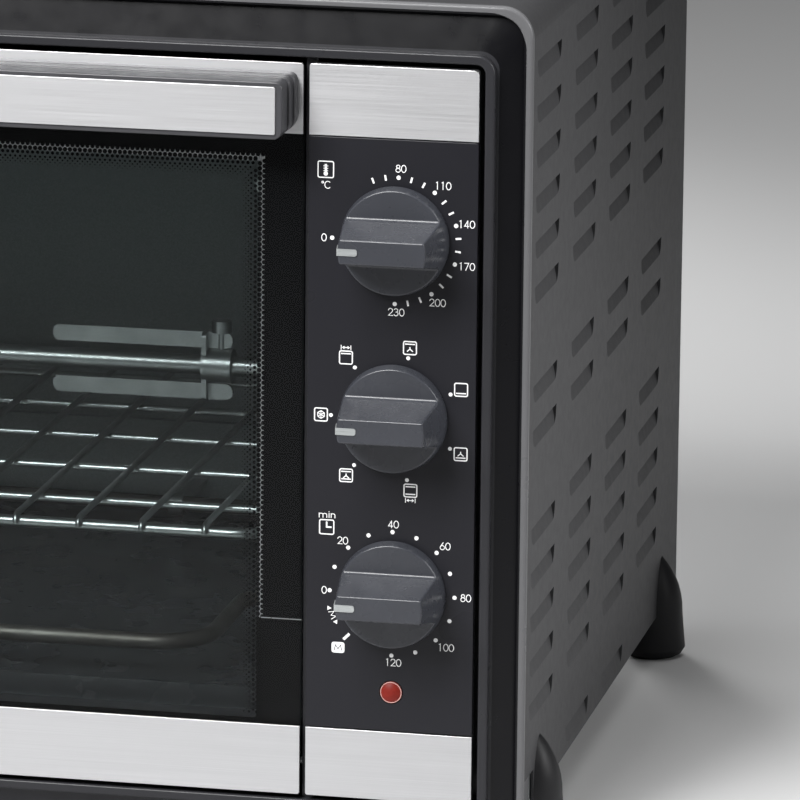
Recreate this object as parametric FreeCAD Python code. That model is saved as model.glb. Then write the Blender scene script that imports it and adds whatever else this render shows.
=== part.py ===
import FreeCAD, Part
import math
import os

# A countertop mini oven with a drop-down door, three rotary controls, a roasting spit and a fan.
# Millimetres. X runs to the right, Y runs from the front to the back, Z runs up from the table.
# The origin lies on the table, under the middle of the oven's bounding box.

os.makedirs("parts", exist_ok=True)
V = FreeCAD.Vector

# Case
case_width = 515.0
case_height = 310.0
case_depth = 351.2
case_lift = 19.0
case_corner = 12.0
case_flange = 12.0
sheet = 0.8
notch_height = 13.0
notch_depth = 18.2

# Louvres pressed into both sides of the case
louvre_first = 7.0
louvre_length = 49.5
louvre_bottom_inset = 1.5
louvre_corner = 5.0
louvre_height = 7.0
louvre_press = 2.1
louvre_column_pitch = 80.0
louvre_columns = 4
louvre_row_pitch = 17.2
louvre_group_pitch = 37.9
louvre_group_rows = [6, 2, 5]
louvre_top_drop = 21.4
louvre_last_row_up = 10.6

# Front frame: flange, dark sloping face, raised lip
frame_gap = 0.3
frame_depth = 21.0
frame_wall = 2.5
frame_side_depth = 12.5
louvre_room_above = 15.0
flange_width = 2.4
flange_set_back = 4.0
flange_lap = 2.6
flange_seam = 0.2
flange_round = 1.4
side_border = 10.0
top_border = 14.5
face_inner_depth = 3.5
face_outer_depth = 7.0
lip_width = 3.7
lip_corner = 3.5
lip_edge = 0.9
flange_edge = 0.6
front_gap = 2.0

# Door and control panel zone
front_height = 281.9
panel_width = 64.3
mid_gap = 2.2
strip_height = 26.8
strip_thickness = 1.0
strip_proud = 0.2
strip_corner = 2.0
panel_thickness = 1.2
panel_edge_radius = 0.4
panel_seam = 0.4
carrier_thickness = 2.5
carrier_boss = 7.0
boss_inset = 3.5
boss_from_end = 12.0

# Dials, knobs and the switches behind them
dial_offset = 0.9
middle_dial_up = 148.6
dial_pitch = 67.8
knob_height = 25.0
knob_base_radius = 20.7
knob_front_radius = 16.5
knob_skirt = 4.9
knob_gap = 0.5
knob_shell = 1.5
knob_hub_radius = 7.0
grip_base_half = 8.5
grip_front_half = 4.4
grip_foot_radius = 1.3
knob_edge_radius = 0.7
pointer_width = 2.6
pointer_length = 7.4
pointer_end_radius = 0.9
pointer_proud = 0.35
pointer_sink = 0.9
pointer_run = 7.0
shaft_radius = 3.0
shaft_clearance = 0.06
shaft_hole_radius = 5.5
shaft_in_body = 12.0
shaft_in_knob = 15.0
thermostat_size = (38.0, 38.0, 28.0)
selector_size = (36.0, 36.0, 30.0)
timer_size = (40.0, 44.0, 34.0)
switch_corner = 3.0
switch_lid_inset = 3.0
switch_lid_depth = 3.0
tab_pitch = 9.0
tab_width = 6.0
tab_length = 8.0
tab_thickness = 0.8
lamp_up = 42.4
lamp_radius = 4.2
lamp_rise = 1.6
lamp_hole_clearance = 0.4
lamp_body_wall = 1.2
lamp_body_length = 20.0

# Door
glass_thickness = 4.0
glass_edge_radius = 0.6
inner_glass_thickness = 3.0
door_depth = 19.0
door_frame_inset = 1.0
window_side = 15.0
window_top = 36.0
window_bottom = 27.6
window_corner = 6.0
glass_rebate = 6.5
glass_play = 0.5
glass_clip_width = 10.0
glass_clip_height = 12.0
glass_clip_thickness = 0.8
glass_clip_from_end = 40.0
hinge_up = 12.0
hinge_depth = 6.2
hinge_pin_radius = 2.0
hinge_pin_in_door = 12.0
hinge_clearance = 0.05
rail_top = 16.6
rail_depth = 10.5

# Door handle: layers as (start before the door, inset at each end, radius of the lower corner)
handle_reach = 21.0
handle_end_inset = 2.0
handle_height = 22.2
handle_drop = 3.4
handle_layers = [(0.2, 0.0, 6.0), (5.6, 0.8, 5.0), (11.0, 1.7, 3.5)]
handle_top_share = 0.4
handle_top_radius = 3.0
handle_wall = 5.0
handle_back_wall = 1.3
handle_rim_side = 2.4
handle_rim_top = 1.7
handle_rim_bottom = 1.9
handle_plate_thickness = 0.6
handle_plate_corner = 0.8
plate_edge_radius = 0.2
handle_edge_radius = 0.45
finger_depth = 14.0

# Cooking space
cavity_margin = 18.0
cavity_height = 244.0
cavity_depth = 300.0
cavity_up = 24.6
wall_sheet = 0.8
runner_levels = [38.0, 66.0, 178.0]
runner_press = 5.0
runner_height = 5.0
runner_play = 0.4
runner_setback = 12.0
runner_edge_radius = 1.2
back_swell = 5.0
back_swell_margin = 40.0
back_swell_corner = 18.0

# Wire rack
rack_level = 1
rack_bar_radius = 2.25
rack_wire_radius = 1.25
rack_cross_radius = 1.5
rack_side_gap = 0.9
rack_front_back_gap = 8.0
rack_weld = 0.3
rack_cross_first = 36.0
rack_cross_pitch = 53.0
rack_cross_count = 5
rack_wire_from_side = 22.4
rack_wire_count = 14
rack_corner = 12.0

# Roasting spit
spit_up = 106.0
spit_back = 128.0
spit_radius = 4.0
spit_play = 0.35
spit_end_gap = 3.0
spit_point = 6.0
spit_point_radius = 1.0
spit_square_length = 11.0
fork_reach = 62.0
fork_prong_offset = 10.5
fork_prong_height = 6.5
fork_thickness = 2.0
fork_bridge_width = 10.0
fork_hub_radius = 7.0
fork_hub_length = 12.0
fork_inset = 43.0
fork_left_extra = 20.0
fork_screw_radius = 1.5
fork_screw_at = 0.4
fork_screw_head_radius = 4.0
fork_screw_head_height = 4.8
rest_depth = 16.0
rest_half_width = 14.0
rest_below = 16.0
rest_above = 8.0
rest_sheet = 1.2
socket_radius = 9.0
socket_length = 15.0
socket_mouth = 12.0
socket_square = 7.2
socket_play = 0.1
socket_wall_gap = 1.0
drive_length = 12.0
motor_size = 50.0
motor_depth = 26.0
motor_stand_off = 4.0
motor_corner = 8.0
motor_collar_radius = 12.0
motor_ear_radius = 4.5
motor_ear_inset = 6.0

# Heating tubes
heater_radius = 3.25
heater_bend = 22.0
heater_side_gap = 34.0
heater_front_gap = 38.0
heater_back_gap = 42.0
heater_wall_gap = 12.0
heater_lead_spacing = 28.0
heater_lead_out = 12.0
lower_heater_up = 15.3
heater_hole_play = 0.2
heater_clip_aside = 90.0
heater_clip_width = 6.0
heater_clip_arm = 2.0
heater_clip_wall = 1.6

# Thermostat bulb and its tube
bulb_radius = 2.5
bulb_length = 60.0
bulb_gap = 6.0
bulb_up = 10.0
bulb_before_tube = 14.0
bulb_clip_places = [24.0, 56.0]
bulb_clip_width = 6.0
bulb_clip_arm = 1.6
bulb_clip_wall = 1.2
capillary_radius = 1.2
capillary_back = 93.0
capillary_aside = 8.0
capillary_bends = [5.0, 12.0]
capillary_hole_play = 0.3

# Convection fan
fan_back = 222.0
fan_up = 124.0
fan_housing_radius = 58.0
fan_housing_depth = 29.0
fan_blade_radius = 45.0
fan_blade_count = 8
fan_blade_height = 14.0
fan_hole_radius = 3.0
fan_hole_pitch = 11.0
fan_hole_rings = 4
fan_gap = 6.0
fan_disc = 1.0
fan_vane_thickness = 1.0
fan_vane_start = 16.0
fan_vane_gap = 2.0
fan_hub_radius = 7.0
fan_hub_extra = 3.0
fan_shaft_start = 5.0
fan_shaft_in_motor = 27.5
stack_width = 52.0
stack_height = 44.0
stack_depth = 18.0
stack_corner = 3.0
coil_width = 32.0
coil_height = 12.0
coil_overhang = 2.0
bearing_radius = 9.0
bearing_front = 5.0
bearing_back = 7.0

# Crumb tray
tray_height = 9.0
tray_thickness = 0.6
tray_corner = 4.0
tray_gap = 4.0

# Feet
foot_radius = 14.0
foot_waist_radius = 12.6
foot_tip_radius = 3.5
foot_tip_above_case = 23.7
foot_inset = 3.5
foot_front = 30.7
foot_back = 38.0
foot_pad_radius = 10.5
foot_pad_height = 3.0
foot_pad_proud = 1.2
foot_pad_play = 0.2
foot_edge = 1.5
foot_edge_height = 2.5
foot_curve_at = 0.58
foot_curve_share = 0.65

# Rear panel and what sits on it
rear_flange = 12.0
spacer_depth = 15.0
spacer_width = 40.0
spacer_height = 18.0
spacer_corner = 5.0
spacer_wall = 2.0
spacer_from_side = 90.0
spacer_from_top = 34.0
gland_up = 42.0
gland_radius = 9.0
gland_bore = 3.5
gland_play = 0.1
gland_inside = 12.0
gland_outside = 4.0
gland_collar = 3.0
gland_nut = 2.5
gland_nut_depth = 5.0
screw_head_radius = 3.6
screw_head_height = 2.2
screw_shank_radius = 1.8
screw_play = 0.05
screw_in_panel = 4.0
screw_recess_radius = 1.3
screw_from_end = 30.0
pan_lip = 14.0
pan_slot_places = [-150.0, 0.0, 150.0]
pan_slot_count = 8
rear_slot_lift = 40.0
rear_slot_count_controls = 10
rear_slot_count = 8
terminal_aside = 15.0
terminal_back = 80.0
terminal_width = 40.0
terminal_depth = 18.0
terminal_height = 14.0
terminal_pitch = 12.0
terminal_wire_radius = 2.2
terminal_wire_up = 5.0
terminal_screw_radius = 3.2
terminal_screw_up = 9.0
vent_slot_width = 4.0
vent_slot_length = 46.0
vent_slot_pitch = 11.0

# Places worked out from the sizes above
half = case_width / 2
case_set_back = flange_set_back + flange_lap + flange_seam
overall_depth = handle_reach + case_set_back + case_depth + sheet + spacer_depth
panel_y = handle_reach - overall_depth / 2


def deep(depth):
    """A Y position, counted back from the front face of the control panel."""
    return panel_y + depth


flange_front = deep(flange_set_back)
case_front = deep(case_set_back)
case_rear = case_front + case_depth
case_top = case_lift + case_height

frame_right = half - sheet - frame_gap
frame_top = case_top - sheet - frame_gap
face_right = frame_right - flange_width
face_top = frame_top - flange_width
lip_right = face_right - side_border
lip_top = face_top - top_border
hole_right = lip_right - lip_width
hole_top = lip_top - lip_width
front_right = hole_right - front_gap
front_top = hole_top - front_gap
front_bottom = front_top - front_height
hole_bottom = front_bottom - front_gap
lip_bottom = hole_bottom - lip_width
face_bottom = lip_bottom - side_border
frame_bottom = face_bottom - flange_width

panel_left = front_right - panel_width
door_right = panel_left - mid_gap
door_left = -front_right
door_middle = (door_left + door_right) / 2
dial_x = (panel_left + front_right) / 2 + dial_offset
dial_z = front_bottom + middle_dial_up
lower_strip_top = front_bottom + strip_height
upper_strip_bottom = front_top - strip_height

cavity_left = door_left + cavity_margin
cavity_right = door_right - cavity_margin
floor_z = front_bottom + cavity_up
roof_z = floor_z + cavity_height
mouth_y = deep(frame_depth + wall_sheet)
back_y = mouth_y + cavity_depth
hinge_y = deep(hinge_depth)
hinge_z = front_bottom + hinge_up
strip_back = strip_thickness - strip_proud
carrier_front = panel_thickness
carrier_back = carrier_front + carrier_thickness
control_opening_inset = 9.0
base_z = case_lift + sheet


def unit(u, v):
    length = math.hypot(u, v)
    return u / length, v / length


def rounded_wire(points, place):
    """A closed outline through points (u, v, radius), each corner rounded by its radius."""
    ends = []
    count = len(points)
    for i, (u, v, radius) in enumerate(points):
        if radius <= 0:
            ends.append(((u, v), None, (u, v)))
            continue
        before = points[i - 1]
        after = points[(i + 1) % count]
        du, dv = unit(before[0] - u, before[1] - v)
        eu, ev = unit(after[0] - u, after[1] - v)
        half_angle = math.acos(max(-1.0, min(1.0, du * eu + dv * ev))) / 2
        run = radius / math.tan(half_angle)
        bu, bv = unit(du + eu, dv + ev)
        reach = radius / math.sin(half_angle) - radius
        start = (u + du * run, v + dv * run)
        middle = (u + bu * reach, v + bv * reach)
        end = (u + eu * run, v + ev * run)
        ends.append((start, middle, end))
    edges = []
    for i, (start, middle, end) in enumerate(ends):
        if middle is not None:
            edges.append(Part.Arc(place(*start), place(*middle), place(*end)).toShape())
        following = ends[(i + 1) % count][0]
        if math.dist(end, following) > 1e-6:
            edges.append(Part.LineSegment(place(*end), place(*following)).toShape())
    return Part.Wire(edges)


def outline(points, plane, level):
    """An outline in the XZ, YZ or XY plane, at a level along the third axis."""
    place = {
        "xz": lambda u, v: V(u, level, v),
        "yz": lambda u, v: V(level, u, v),
        "xy": lambda u, v: V(u, v, level),
    }[plane]
    return rounded_wire(points, place)


def prism(points, plane, low, high):
    """A straight block with the given outline, from low to high along the third axis."""
    push = {"xz": V(0, 1, 0), "yz": V(1, 0, 0), "xy": V(0, 0, 1)}[plane]
    return Part.Face(outline(points, plane, low)).extrude(push * (high - low))


def rect(u0, u1, v0, v1, *radii):
    """Corner points of a rectangle: no radius, one for all, or four from the low corner round."""
    if not radii:
        radii = (0, 0, 0, 0)
    if len(radii) == 1:
        radii = radii * 4
    corners = [(u0, v0), (u1, v0), (u1, v1), (u0, v1)]
    return [(u, v, r) for (u, v), r in zip(corners, radii)]


def grown(box, amount):
    u0, u1, v0, v1 = box
    return u0 - amount, u1 + amount, v0 - amount, v1 + amount


def block(x0, x1, y0, y1, z0, z1):
    return Part.makeBox(x1 - x0, y1 - y0, z1 - z0, V(x0, y0, z0))


def rod_x(radius, x0, x1, y, z):
    return Part.makeCylinder(radius, x1 - x0, V(x0, y, z), V(1, 0, 0))


def rod_y(radius, x, y0, y1, z):
    return Part.makeCylinder(radius, y1 - y0, V(x, y0, z), V(0, 1, 0))


def rod_z(radius, x, y, z0, z1):
    return Part.makeCylinder(radius, z1 - z0, V(x, y, z0), V(0, 0, 1))


def drilled(shape, tools):
    return shape.cut(tools) if tools else shape


def softened(shape, radius, chosen):
    """The shape with a round of this radius along each edge that chosen(box) picks."""
    edges = [edge for edge in shape.Edges if chosen(edge.BoundBox)]
    return shape.makeFillet(radius, edges)


def front_softened(shape, radius):
    """The shape with the edges of its foremost face rounded."""
    front = shape.BoundBox.YMin + 0.01
    return softened(shape, radius, lambda box: box.YMax < front)


def export(name, shape):
    solids = shape.Solids
    if not solids:
        raise RuntimeError(name + " has no solid")
    for solid in solids:
        if not solid.isValid() or solid.Volume < 1.0:
            raise RuntimeError(name + " has a bad solid")
    result = solids[0] if len(solids) == 1 else Part.makeCompound(solids)
    result.exportStep("parts/" + name + ".step")


def mirrored_x(shape):
    return shape.mirror(V(0, 0, 0), V(1, 0, 0))


# Louvres

def louvre_places():
    """The front-top corner of every louvre on one side, as (Y, Z)."""
    rows = []
    z = case_top - louvre_top_drop
    for count in louvre_group_rows:
        for _ in range(count):
            rows.append(z)
            z -= louvre_row_pitch
        z -= louvre_group_pitch - louvre_row_pitch
    last = case_lift + louvre_last_row_up
    places = []
    for column in range(louvre_columns):
        y = case_front + louvre_first + column * louvre_column_pitch
        places += [(y, z) for z in rows]
        if 0 < column < louvre_columns - 1:
            places.append((y, last))
    return places


def louvre_pocket(skin):
    """The pocket that a louvre presses into the side, grown by skin for the sheet round it.

    It lies with its front-top corner at Y = 0, Z = 0: open above, its floor sloping outwards.
    """
    front = -skin
    back = louvre_length + skin
    low = -louvre_height - skin
    deep_x = half - louvre_press - skin
    corner = louvre_corner + skin
    inset = louvre_bottom_inset
    pocket = prism([(front + inset, low, corner), (back - inset, low, corner),
                    (back, 0, 0), (front, 0, 0)], "yz", deep_x, half)
    below = prism([(half, low, 0), (deep_x, 0, 0), (deep_x - 1, 0, 0), (deep_x - 1, low - 1, 0),
                   (half, low - 1, 0)], "xz", front - 1, back + 1)
    return pocket.cut(below)


def case_side():
    """The right-hand side of the case: a flat sheet with its louvres."""
    z0 = case_lift
    z1 = case_top - case_corner
    side = block(half - sheet, half, case_front, case_rear, z0, z1)
    notch = block(half - 2 * sheet, half + sheet, case_front - 1, case_front + notch_depth,
                  z0 - 1, z0 + notch_height)
    side = side.cut(notch)
    places = louvre_places()
    raised = louvre_pocket(sheet)
    hollow = louvre_pocket(0.0)
    side = side.fuse([raised.translated(V(0, y, z)) for y, z in places])
    return side.cut([hollow.translated(V(0, y, z)) for y, z in places])


def case_wrap():
    outer = rect(-half, half, case_lift, case_top, 0, 0, case_corner, case_corner)
    inner = rect(-half + sheet, half - sheet, case_lift + sheet, case_top - sheet,
                 0, 0, case_corner - sheet, case_corner - sheet)
    wrap = prism(outer, "xz", case_front, case_rear)
    wrap = wrap.cut(prism(inner, "xz", case_front - 1, case_rear + 1))
    reach = half - case_flange
    opening = block(-reach, reach, case_front - 1, case_rear + 1, case_lift - 1, base_z + 1)
    front_cut = block(-half - 1, half + 1, case_front - 1, case_front + notch_depth,
                      case_lift - 1, case_lift + notch_height)
    sides = block(half - 2 * sheet, half + 1, case_front - 1, case_rear + 1,
                  base_z, case_top - case_corner)
    wrap = wrap.cut([opening, front_cut, sides, mirrored_x(sides)])
    right = case_side()
    right = right.common(block(half - 2 * case_corner, half + 1, case_front - 1, case_rear + 1,
                               base_z, case_top))
    return wrap.fuse([right, mirrored_x(right)]).removeSplitter()


export("case_wrap", case_wrap())


# Front frame

flange_box = (-half, half, frame_bottom, case_top)
outer_box = (-frame_right, frame_right, frame_bottom, frame_top)
face_box = (-face_right, face_right, face_bottom, face_top)
lip_box = (-lip_right, lip_right, lip_bottom, lip_top)
hole_box = (-hole_right, hole_right, hole_bottom, hole_top)


def front_frame():
    corner = case_corner - sheet
    body = prism(rect(*outer_box, corner), "xz", flange_front, deep(frame_depth))
    flange = prism(rect(*flange_box, case_corner), "xz", flange_front, flange_front + flange_lap)
    flange = front_softened(flange, flange_round)
    trough = prism(rect(*face_box, corner - 1), "xz", flange_front - 1, deep(face_outer_depth))
    front = flange_front + 0.01

    def trough_edge(box):
        inside = max(abs(box.XMin), abs(box.XMax)) < face_right + 0.01
        return inside and box.ZMax < face_top + 0.01 and box.YMax < front

    edge = min(flange_edge, 0.8 * (flange_width - flange_round))
    flange = softened(flange.cut(trough), edge, trough_edge)
    body = body.cut(prism(rect(*flange_box, case_corner), "xz", flange_front - 1,
                          flange_front + flange_lap / 2))
    body = body.cut(trough).fuse(flange)
    slope = Part.makeLoft([
        outline(rect(*face_box, corner - 1), "xz", deep(face_outer_depth)),
        outline(rect(*lip_box, lip_corner + lip_width), "xz", deep(face_inner_depth)),
    ], True, True)
    lip = prism(rect(*lip_box, lip_corner + lip_width), "xz", deep(0), deep(face_inner_depth))
    hole = prism(rect(*hole_box, lip_corner), "xz", deep(-1), deep(frame_depth) + 1)
    lip = front_softened(lip.cut(hole), lip_edge)
    body = body.fuse([slope, lip])
    hollow = prism(rect(*grown(outer_box, -frame_wall), corner - frame_wall), "xz",
                   deep(face_outer_depth + frame_wall), deep(frame_depth) + 1)
    hollow = hollow.cut(prism(rect(*lip_box, lip_corner + lip_width), "xz",
                              deep(0), deep(frame_depth) + 2))
    body = body.cut([hollow, hole])
    mullion = block(door_right + frame_gap, panel_left + frame_wall,
                    deep(carrier_back + frame_gap), deep(frame_depth), hole_bottom, hole_top)
    body = body.fuse(mullion).removeSplitter()
    return drilled(body, hinge_bores(hinge_pin_radius) + louvre_room(deep(frame_side_depth)))


def louvre_room(front):
    """Room behind the flange for the louvres of the front column, on both sides."""
    cut = block(frame_right - louvre_press - sheet, half, front, mouth_y + 1,
                case_lift + louvre_room_above, case_top - louvre_room_above)
    return [cut, mirrored_x(cut)]


def hinge_bores(radius):
    """Two holes across the door's corners: into the frame's side and into the mullion."""
    left = rod_x(radius, -lip_right - 1, door_left + hinge_pin_in_door, hinge_y, hinge_z)
    right = rod_x(radius, door_right - hinge_pin_in_door, panel_left + frame_wall + 1,
                  hinge_y, hinge_z)
    return [left, right]


export("front_frame", front_frame())


def hinge_pins():
    left = rod_x(hinge_pin_radius, -lip_right, door_left + hinge_pin_in_door - 1, hinge_y, hinge_z)
    right = rod_x(hinge_pin_radius, door_right - hinge_pin_in_door + 1, panel_left + frame_wall,
                  hinge_y, hinge_z)
    return Part.makeCompound([left, right])


export("hinge_pins", hinge_pins())


# Steel front plate and cooking space

def front_plate():
    plate = prism(rect(-frame_right, frame_right, base_z, frame_top - sheet,
                       0, 0, case_corner, case_corner), "xz", deep(frame_depth), mouth_y)
    mouth = block(cavity_left, cavity_right, deep(frame_depth) - 1, mouth_y + 1, floor_z, roof_z)
    controls = block(panel_left + control_opening_inset, front_right - control_opening_inset,
                     deep(frame_depth) - 1, mouth_y + 1,
                     lower_strip_top + frame_wall, roof_z - control_opening_inset)
    return plate.cut([mouth, controls] + louvre_room(deep(frame_depth) - 1))


def runner_z(level):
    """The underside of a rack's side bar when it rests at this level."""
    return floor_z + level


def runner_beads(wall_x, inward):
    """The pressed beads that carry and guide a rack, at each level of one side wall."""
    beads = []
    y0 = mouth_y + runner_setback
    y1 = back_y - runner_setback
    bar = 2 * rack_bar_radius + 2 * runner_play
    tip = wall_x + inward * runner_press
    for level in runner_levels:
        z = runner_z(level) - runner_play
        for low in (z - runner_height, z + bar):
            points = [
                (wall_x, low, 0),
                (tip, low, runner_edge_radius),
                (tip, low + runner_height, runner_edge_radius),
                (wall_x, low + runner_height, 0),
            ]
            beads.append(prism(points, "xz", y0, y1))
    return beads


spit_y = mouth_y + spit_back
spit_z = floor_z + spit_up
fan_y = mouth_y + fan_back
fan_z = floor_z + fan_up
lower_heater_z = floor_z + lower_heater_up
upper_heater_z = roof_z - heater_wall_gap
capillary_z = dial_z + dial_pitch + bulb_up
capillary_y = mouth_y + capillary_back


def fan_holes():
    """Rings of round holes in the right wall, in front of the fan."""
    holes = [rod_x(fan_hole_radius, cavity_right - 1, cavity_right + wall_sheet + 1, fan_y, fan_z)]
    for ring in range(1, fan_hole_rings):
        count = 6 * ring
        for i in range(count):
            angle = 2 * math.pi * i / count
            y = fan_y + ring * fan_hole_pitch * math.cos(angle)
            z = fan_z + ring * fan_hole_pitch * math.sin(angle)
            holes.append(rod_x(fan_hole_radius, cavity_right - 1, cavity_right + wall_sheet + 1, y, z))
    return holes


def heater_lead_ys():
    return [spit_y - heater_lead_spacing / 2, spit_y + heater_lead_spacing / 2]


def side_wall(inner_x, outward):
    low, high = sorted([inner_x, inner_x + outward * wall_sheet])
    wall = block(low, high, mouth_y, back_y, floor_z - wall_sheet, roof_z + wall_sheet)
    return wall.fuse(runner_beads(inner_x, -outward)).removeSplitter()


def cavity_right_wall():
    x0 = cavity_right - 1
    x1 = cavity_right + wall_sheet + 1
    holes = fan_holes()
    holes.append(rod_x(shaft_radius + spit_play, x0, x1, spit_y, spit_z))
    for z in (lower_heater_z, upper_heater_z):
        holes += [rod_x(heater_radius + heater_hole_play, x0, x1, y, z) for y in heater_lead_ys()]
    holes.append(rod_x(capillary_radius + capillary_hole_play, x0, x1, capillary_y, capillary_z))
    return drilled(side_wall(cavity_right, 1), holes)


def cavity_back_wall():
    """The rear wall with a pressed swelling that stiffens it."""
    wall = block(cavity_left - wall_sheet, cavity_right + wall_sheet, back_y, back_y + wall_sheet,
                 floor_z - wall_sheet, roof_z + wall_sheet)
    swelling = grown((cavity_left, cavity_right, floor_z, roof_z), -back_swell_margin)
    pocket = grown(swelling, -wall_sheet)
    raised = prism(rect(*swelling, back_swell_corner), "xz", back_y, back_y + back_swell)
    hollow = prism(rect(*pocket, back_swell_corner - wall_sheet), "xz",
                   back_y - 1, back_y + back_swell - wall_sheet)
    return wall.fuse(raised).cut(hollow).removeSplitter()


export("front_plate", front_plate())
export("cavity_floor", block(cavity_left, cavity_right, mouth_y, back_y,
                             floor_z - wall_sheet, floor_z))
export("cavity_roof", block(cavity_left, cavity_right, mouth_y, back_y,
                            roof_z, roof_z + wall_sheet))
export("cavity_left_wall", side_wall(cavity_left, -1))
export("cavity_right_wall", cavity_right_wall())
export("cavity_back_wall", cavity_back_wall())


# Base pan

def vent_slots(x_middle, y_middle, count, z0, z1):
    """A row of slots side by side along X, each long in Y."""
    slots = []
    first = x_middle - (count - 1) * vent_slot_pitch / 2
    for i in range(count):
        x = first + i * vent_slot_pitch
        points = rect(x - vent_slot_width / 2, x + vent_slot_width / 2,
                      y_middle - vent_slot_length / 2, y_middle + vent_slot_length / 2,
                      vent_slot_width / 2 - 0.01)
        slots.append(prism(points, "xy", z0, z1))
    return slots


def base_pan():
    x = half - sheet - frame_gap
    y0 = mouth_y + frame_gap
    y1 = case_rear - frame_gap
    pan = block(-x, x, y0, y1, base_z, base_z + sheet)
    front_lip = block(-x, x, y0, y0 + sheet, base_z, base_z + pan_lip)
    rear_lip = block(-x, x, y1 - rear_flange - 2 * sheet, y1 - rear_flange - sheet,
                     base_z, base_z + pan_lip)
    pan = pan.fuse([front_lip, rear_lip]).removeSplitter()
    slots = []
    for x_middle in pan_slot_places:
        slots += vent_slots(x_middle, (y0 + y1) / 2, pan_slot_count, base_z - 1, base_z + sheet + 1)
    return drilled(pan, slots)


export("base_pan", base_pan())


# Rear panel

gland_x = dial_x
gland_z = case_lift + gland_up
spacer_x = half - spacer_from_side
spacer_z = case_top - spacer_from_top


def rear_screw_places():
    inset = rear_flange / 2 + 1
    xs = [-half + inset, half - inset]
    zs = [case_lift + screw_from_end, (case_lift + case_top) / 2, case_top - screw_from_end]
    places = [(x, z) for x in xs for z in zs]
    places += [(-half / 2, case_top - inset), (half / 2, case_top - inset)]
    return places


def rear_slots(x_middle, z_middle, count, length):
    """A stack of level slots in the rear panel."""
    slots = []
    first = z_middle - (count - 1) * vent_slot_pitch / 2
    for i in range(count):
        z = first + i * vent_slot_pitch
        points = rect(x_middle - length / 2, x_middle + length / 2,
                      z - vent_slot_width / 2, z + vent_slot_width / 2,
                      vent_slot_width / 2 - 0.01)
        slots.append(prism(points, "xz", case_rear - 1, case_rear + sheet + 1))
    return slots


def rear_panel():
    plate = prism(rect(-half, half, case_lift, case_top, 0, 0, case_corner, case_corner), "xz",
                  case_rear, case_rear + sheet)
    x = half - sheet - frame_gap
    low = base_z + sheet + frame_gap
    high = case_top - sheet - frame_gap
    corner = case_corner - sheet
    ring = prism(rect(-x, x, low, high, 0, 0, corner, corner), "xz",
                 case_rear - rear_flange, case_rear)
    ring = ring.cut(prism(rect(-x + sheet, x - sheet, low + sheet, high - sheet,
                               0, 0, corner - sheet, corner - sheet), "xz",
                          case_rear - rear_flange - 1, case_rear + 1))
    plate = plate.fuse(ring).removeSplitter()
    tools = rear_slots(dial_x, dial_z + rear_slot_lift, rear_slot_count_controls, vent_slot_length)
    tools += rear_slots(-half / 2, dial_z, rear_slot_count, 2 * vent_slot_length)
    tools += rear_slots(0.0, dial_z, rear_slot_count, 2 * vent_slot_length)
    tools.append(rod_y(gland_radius, gland_x, case_rear - 1, case_rear + sheet + 1, gland_z))
    tools += [rod_y(screw_shank_radius, x, case_rear - 1, case_rear + sheet + 1, z)
              for x, z in rear_screw_places()]
    return drilled(plate, tools)


def rear_screws():
    outside = case_rear + sheet
    head_end = outside + screw_head_height
    screws = []
    for x, z in rear_screw_places():
        shank = rod_y(screw_shank_radius - screw_play, x, case_rear - screw_in_panel, outside, z)
        head = rod_y(screw_head_radius, x, outside, head_end, z)
        recess = rod_y(screw_recess_radius, x, outside + screw_head_height / 2, head_end + 1, z)
        screws.append(shank.fuse(head).cut(recess))
    return Part.makeCompound(screws)


def rear_spacers():
    """Two hollow stops that keep the hot case off the wall behind it."""
    y0 = case_rear + sheet
    y1 = y0 + spacer_depth
    spacers = []
    for x in (-spacer_x, spacer_x):
        side = (x - spacer_width / 2, x + spacer_width / 2,
                spacer_z - spacer_height / 2, spacer_z + spacer_height / 2)
        post = prism(rect(*side, spacer_corner), "xz", y0, y1)
        pocket = prism(rect(*grown(side, -spacer_wall), spacer_corner - spacer_wall), "xz",
                       y0 - 1, y1 - spacer_wall)
        spacers.append(post.cut(pocket))
    return Part.makeCompound(spacers)


def cord_gland():
    """The bush that the mains lead passes: a collar outside and a nut inside the panel."""
    y0 = case_rear
    y1 = case_rear + sheet
    bush = rod_y(gland_radius - gland_play, gland_x, y0 - gland_inside, y1 + gland_outside, gland_z)
    collar = rod_y(gland_radius + gland_collar, gland_x, y1, y1 + gland_outside, gland_z)
    nut = rod_y(gland_radius + gland_nut, gland_x, y0 - gland_nut_depth, y0, gland_z)
    bush = bush.fuse([collar, nut]).removeSplitter()
    return bush.cut(rod_y(gland_bore, gland_x, y0 - gland_inside - 1, y1 + gland_outside + 1, gland_z))


def terminal_block():
    """Three terminals side by side, each with a screw above and a hole for its wire."""
    x = gland_x + terminal_aside
    y = case_rear - terminal_back
    z = base_z + sheet
    y0 = y - terminal_depth / 2
    y1 = y + terminal_depth / 2
    body = block(x - terminal_width / 2, x + terminal_width / 2, y0, y1, z, z + terminal_height)
    holes = []
    for i in (-1, 0, 1):
        px = x + i * terminal_pitch
        holes.append(rod_z(terminal_screw_radius, px, y, z + terminal_screw_up,
                           z + terminal_height + 1))
        holes.append(rod_y(terminal_wire_radius, px, y0 - 1, y1 + 1, z + terminal_wire_up))
    return body.cut(holes)


export("rear_panel", rear_panel())
export("rear_screws", rear_screws())
export("rear_spacers", rear_spacers())
export("cord_gland", cord_gland())
export("terminal_block", terminal_block())


# Feet

foot_x = half - foot_inset
foot_ys = [case_front + foot_front, case_rear - foot_back]


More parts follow.
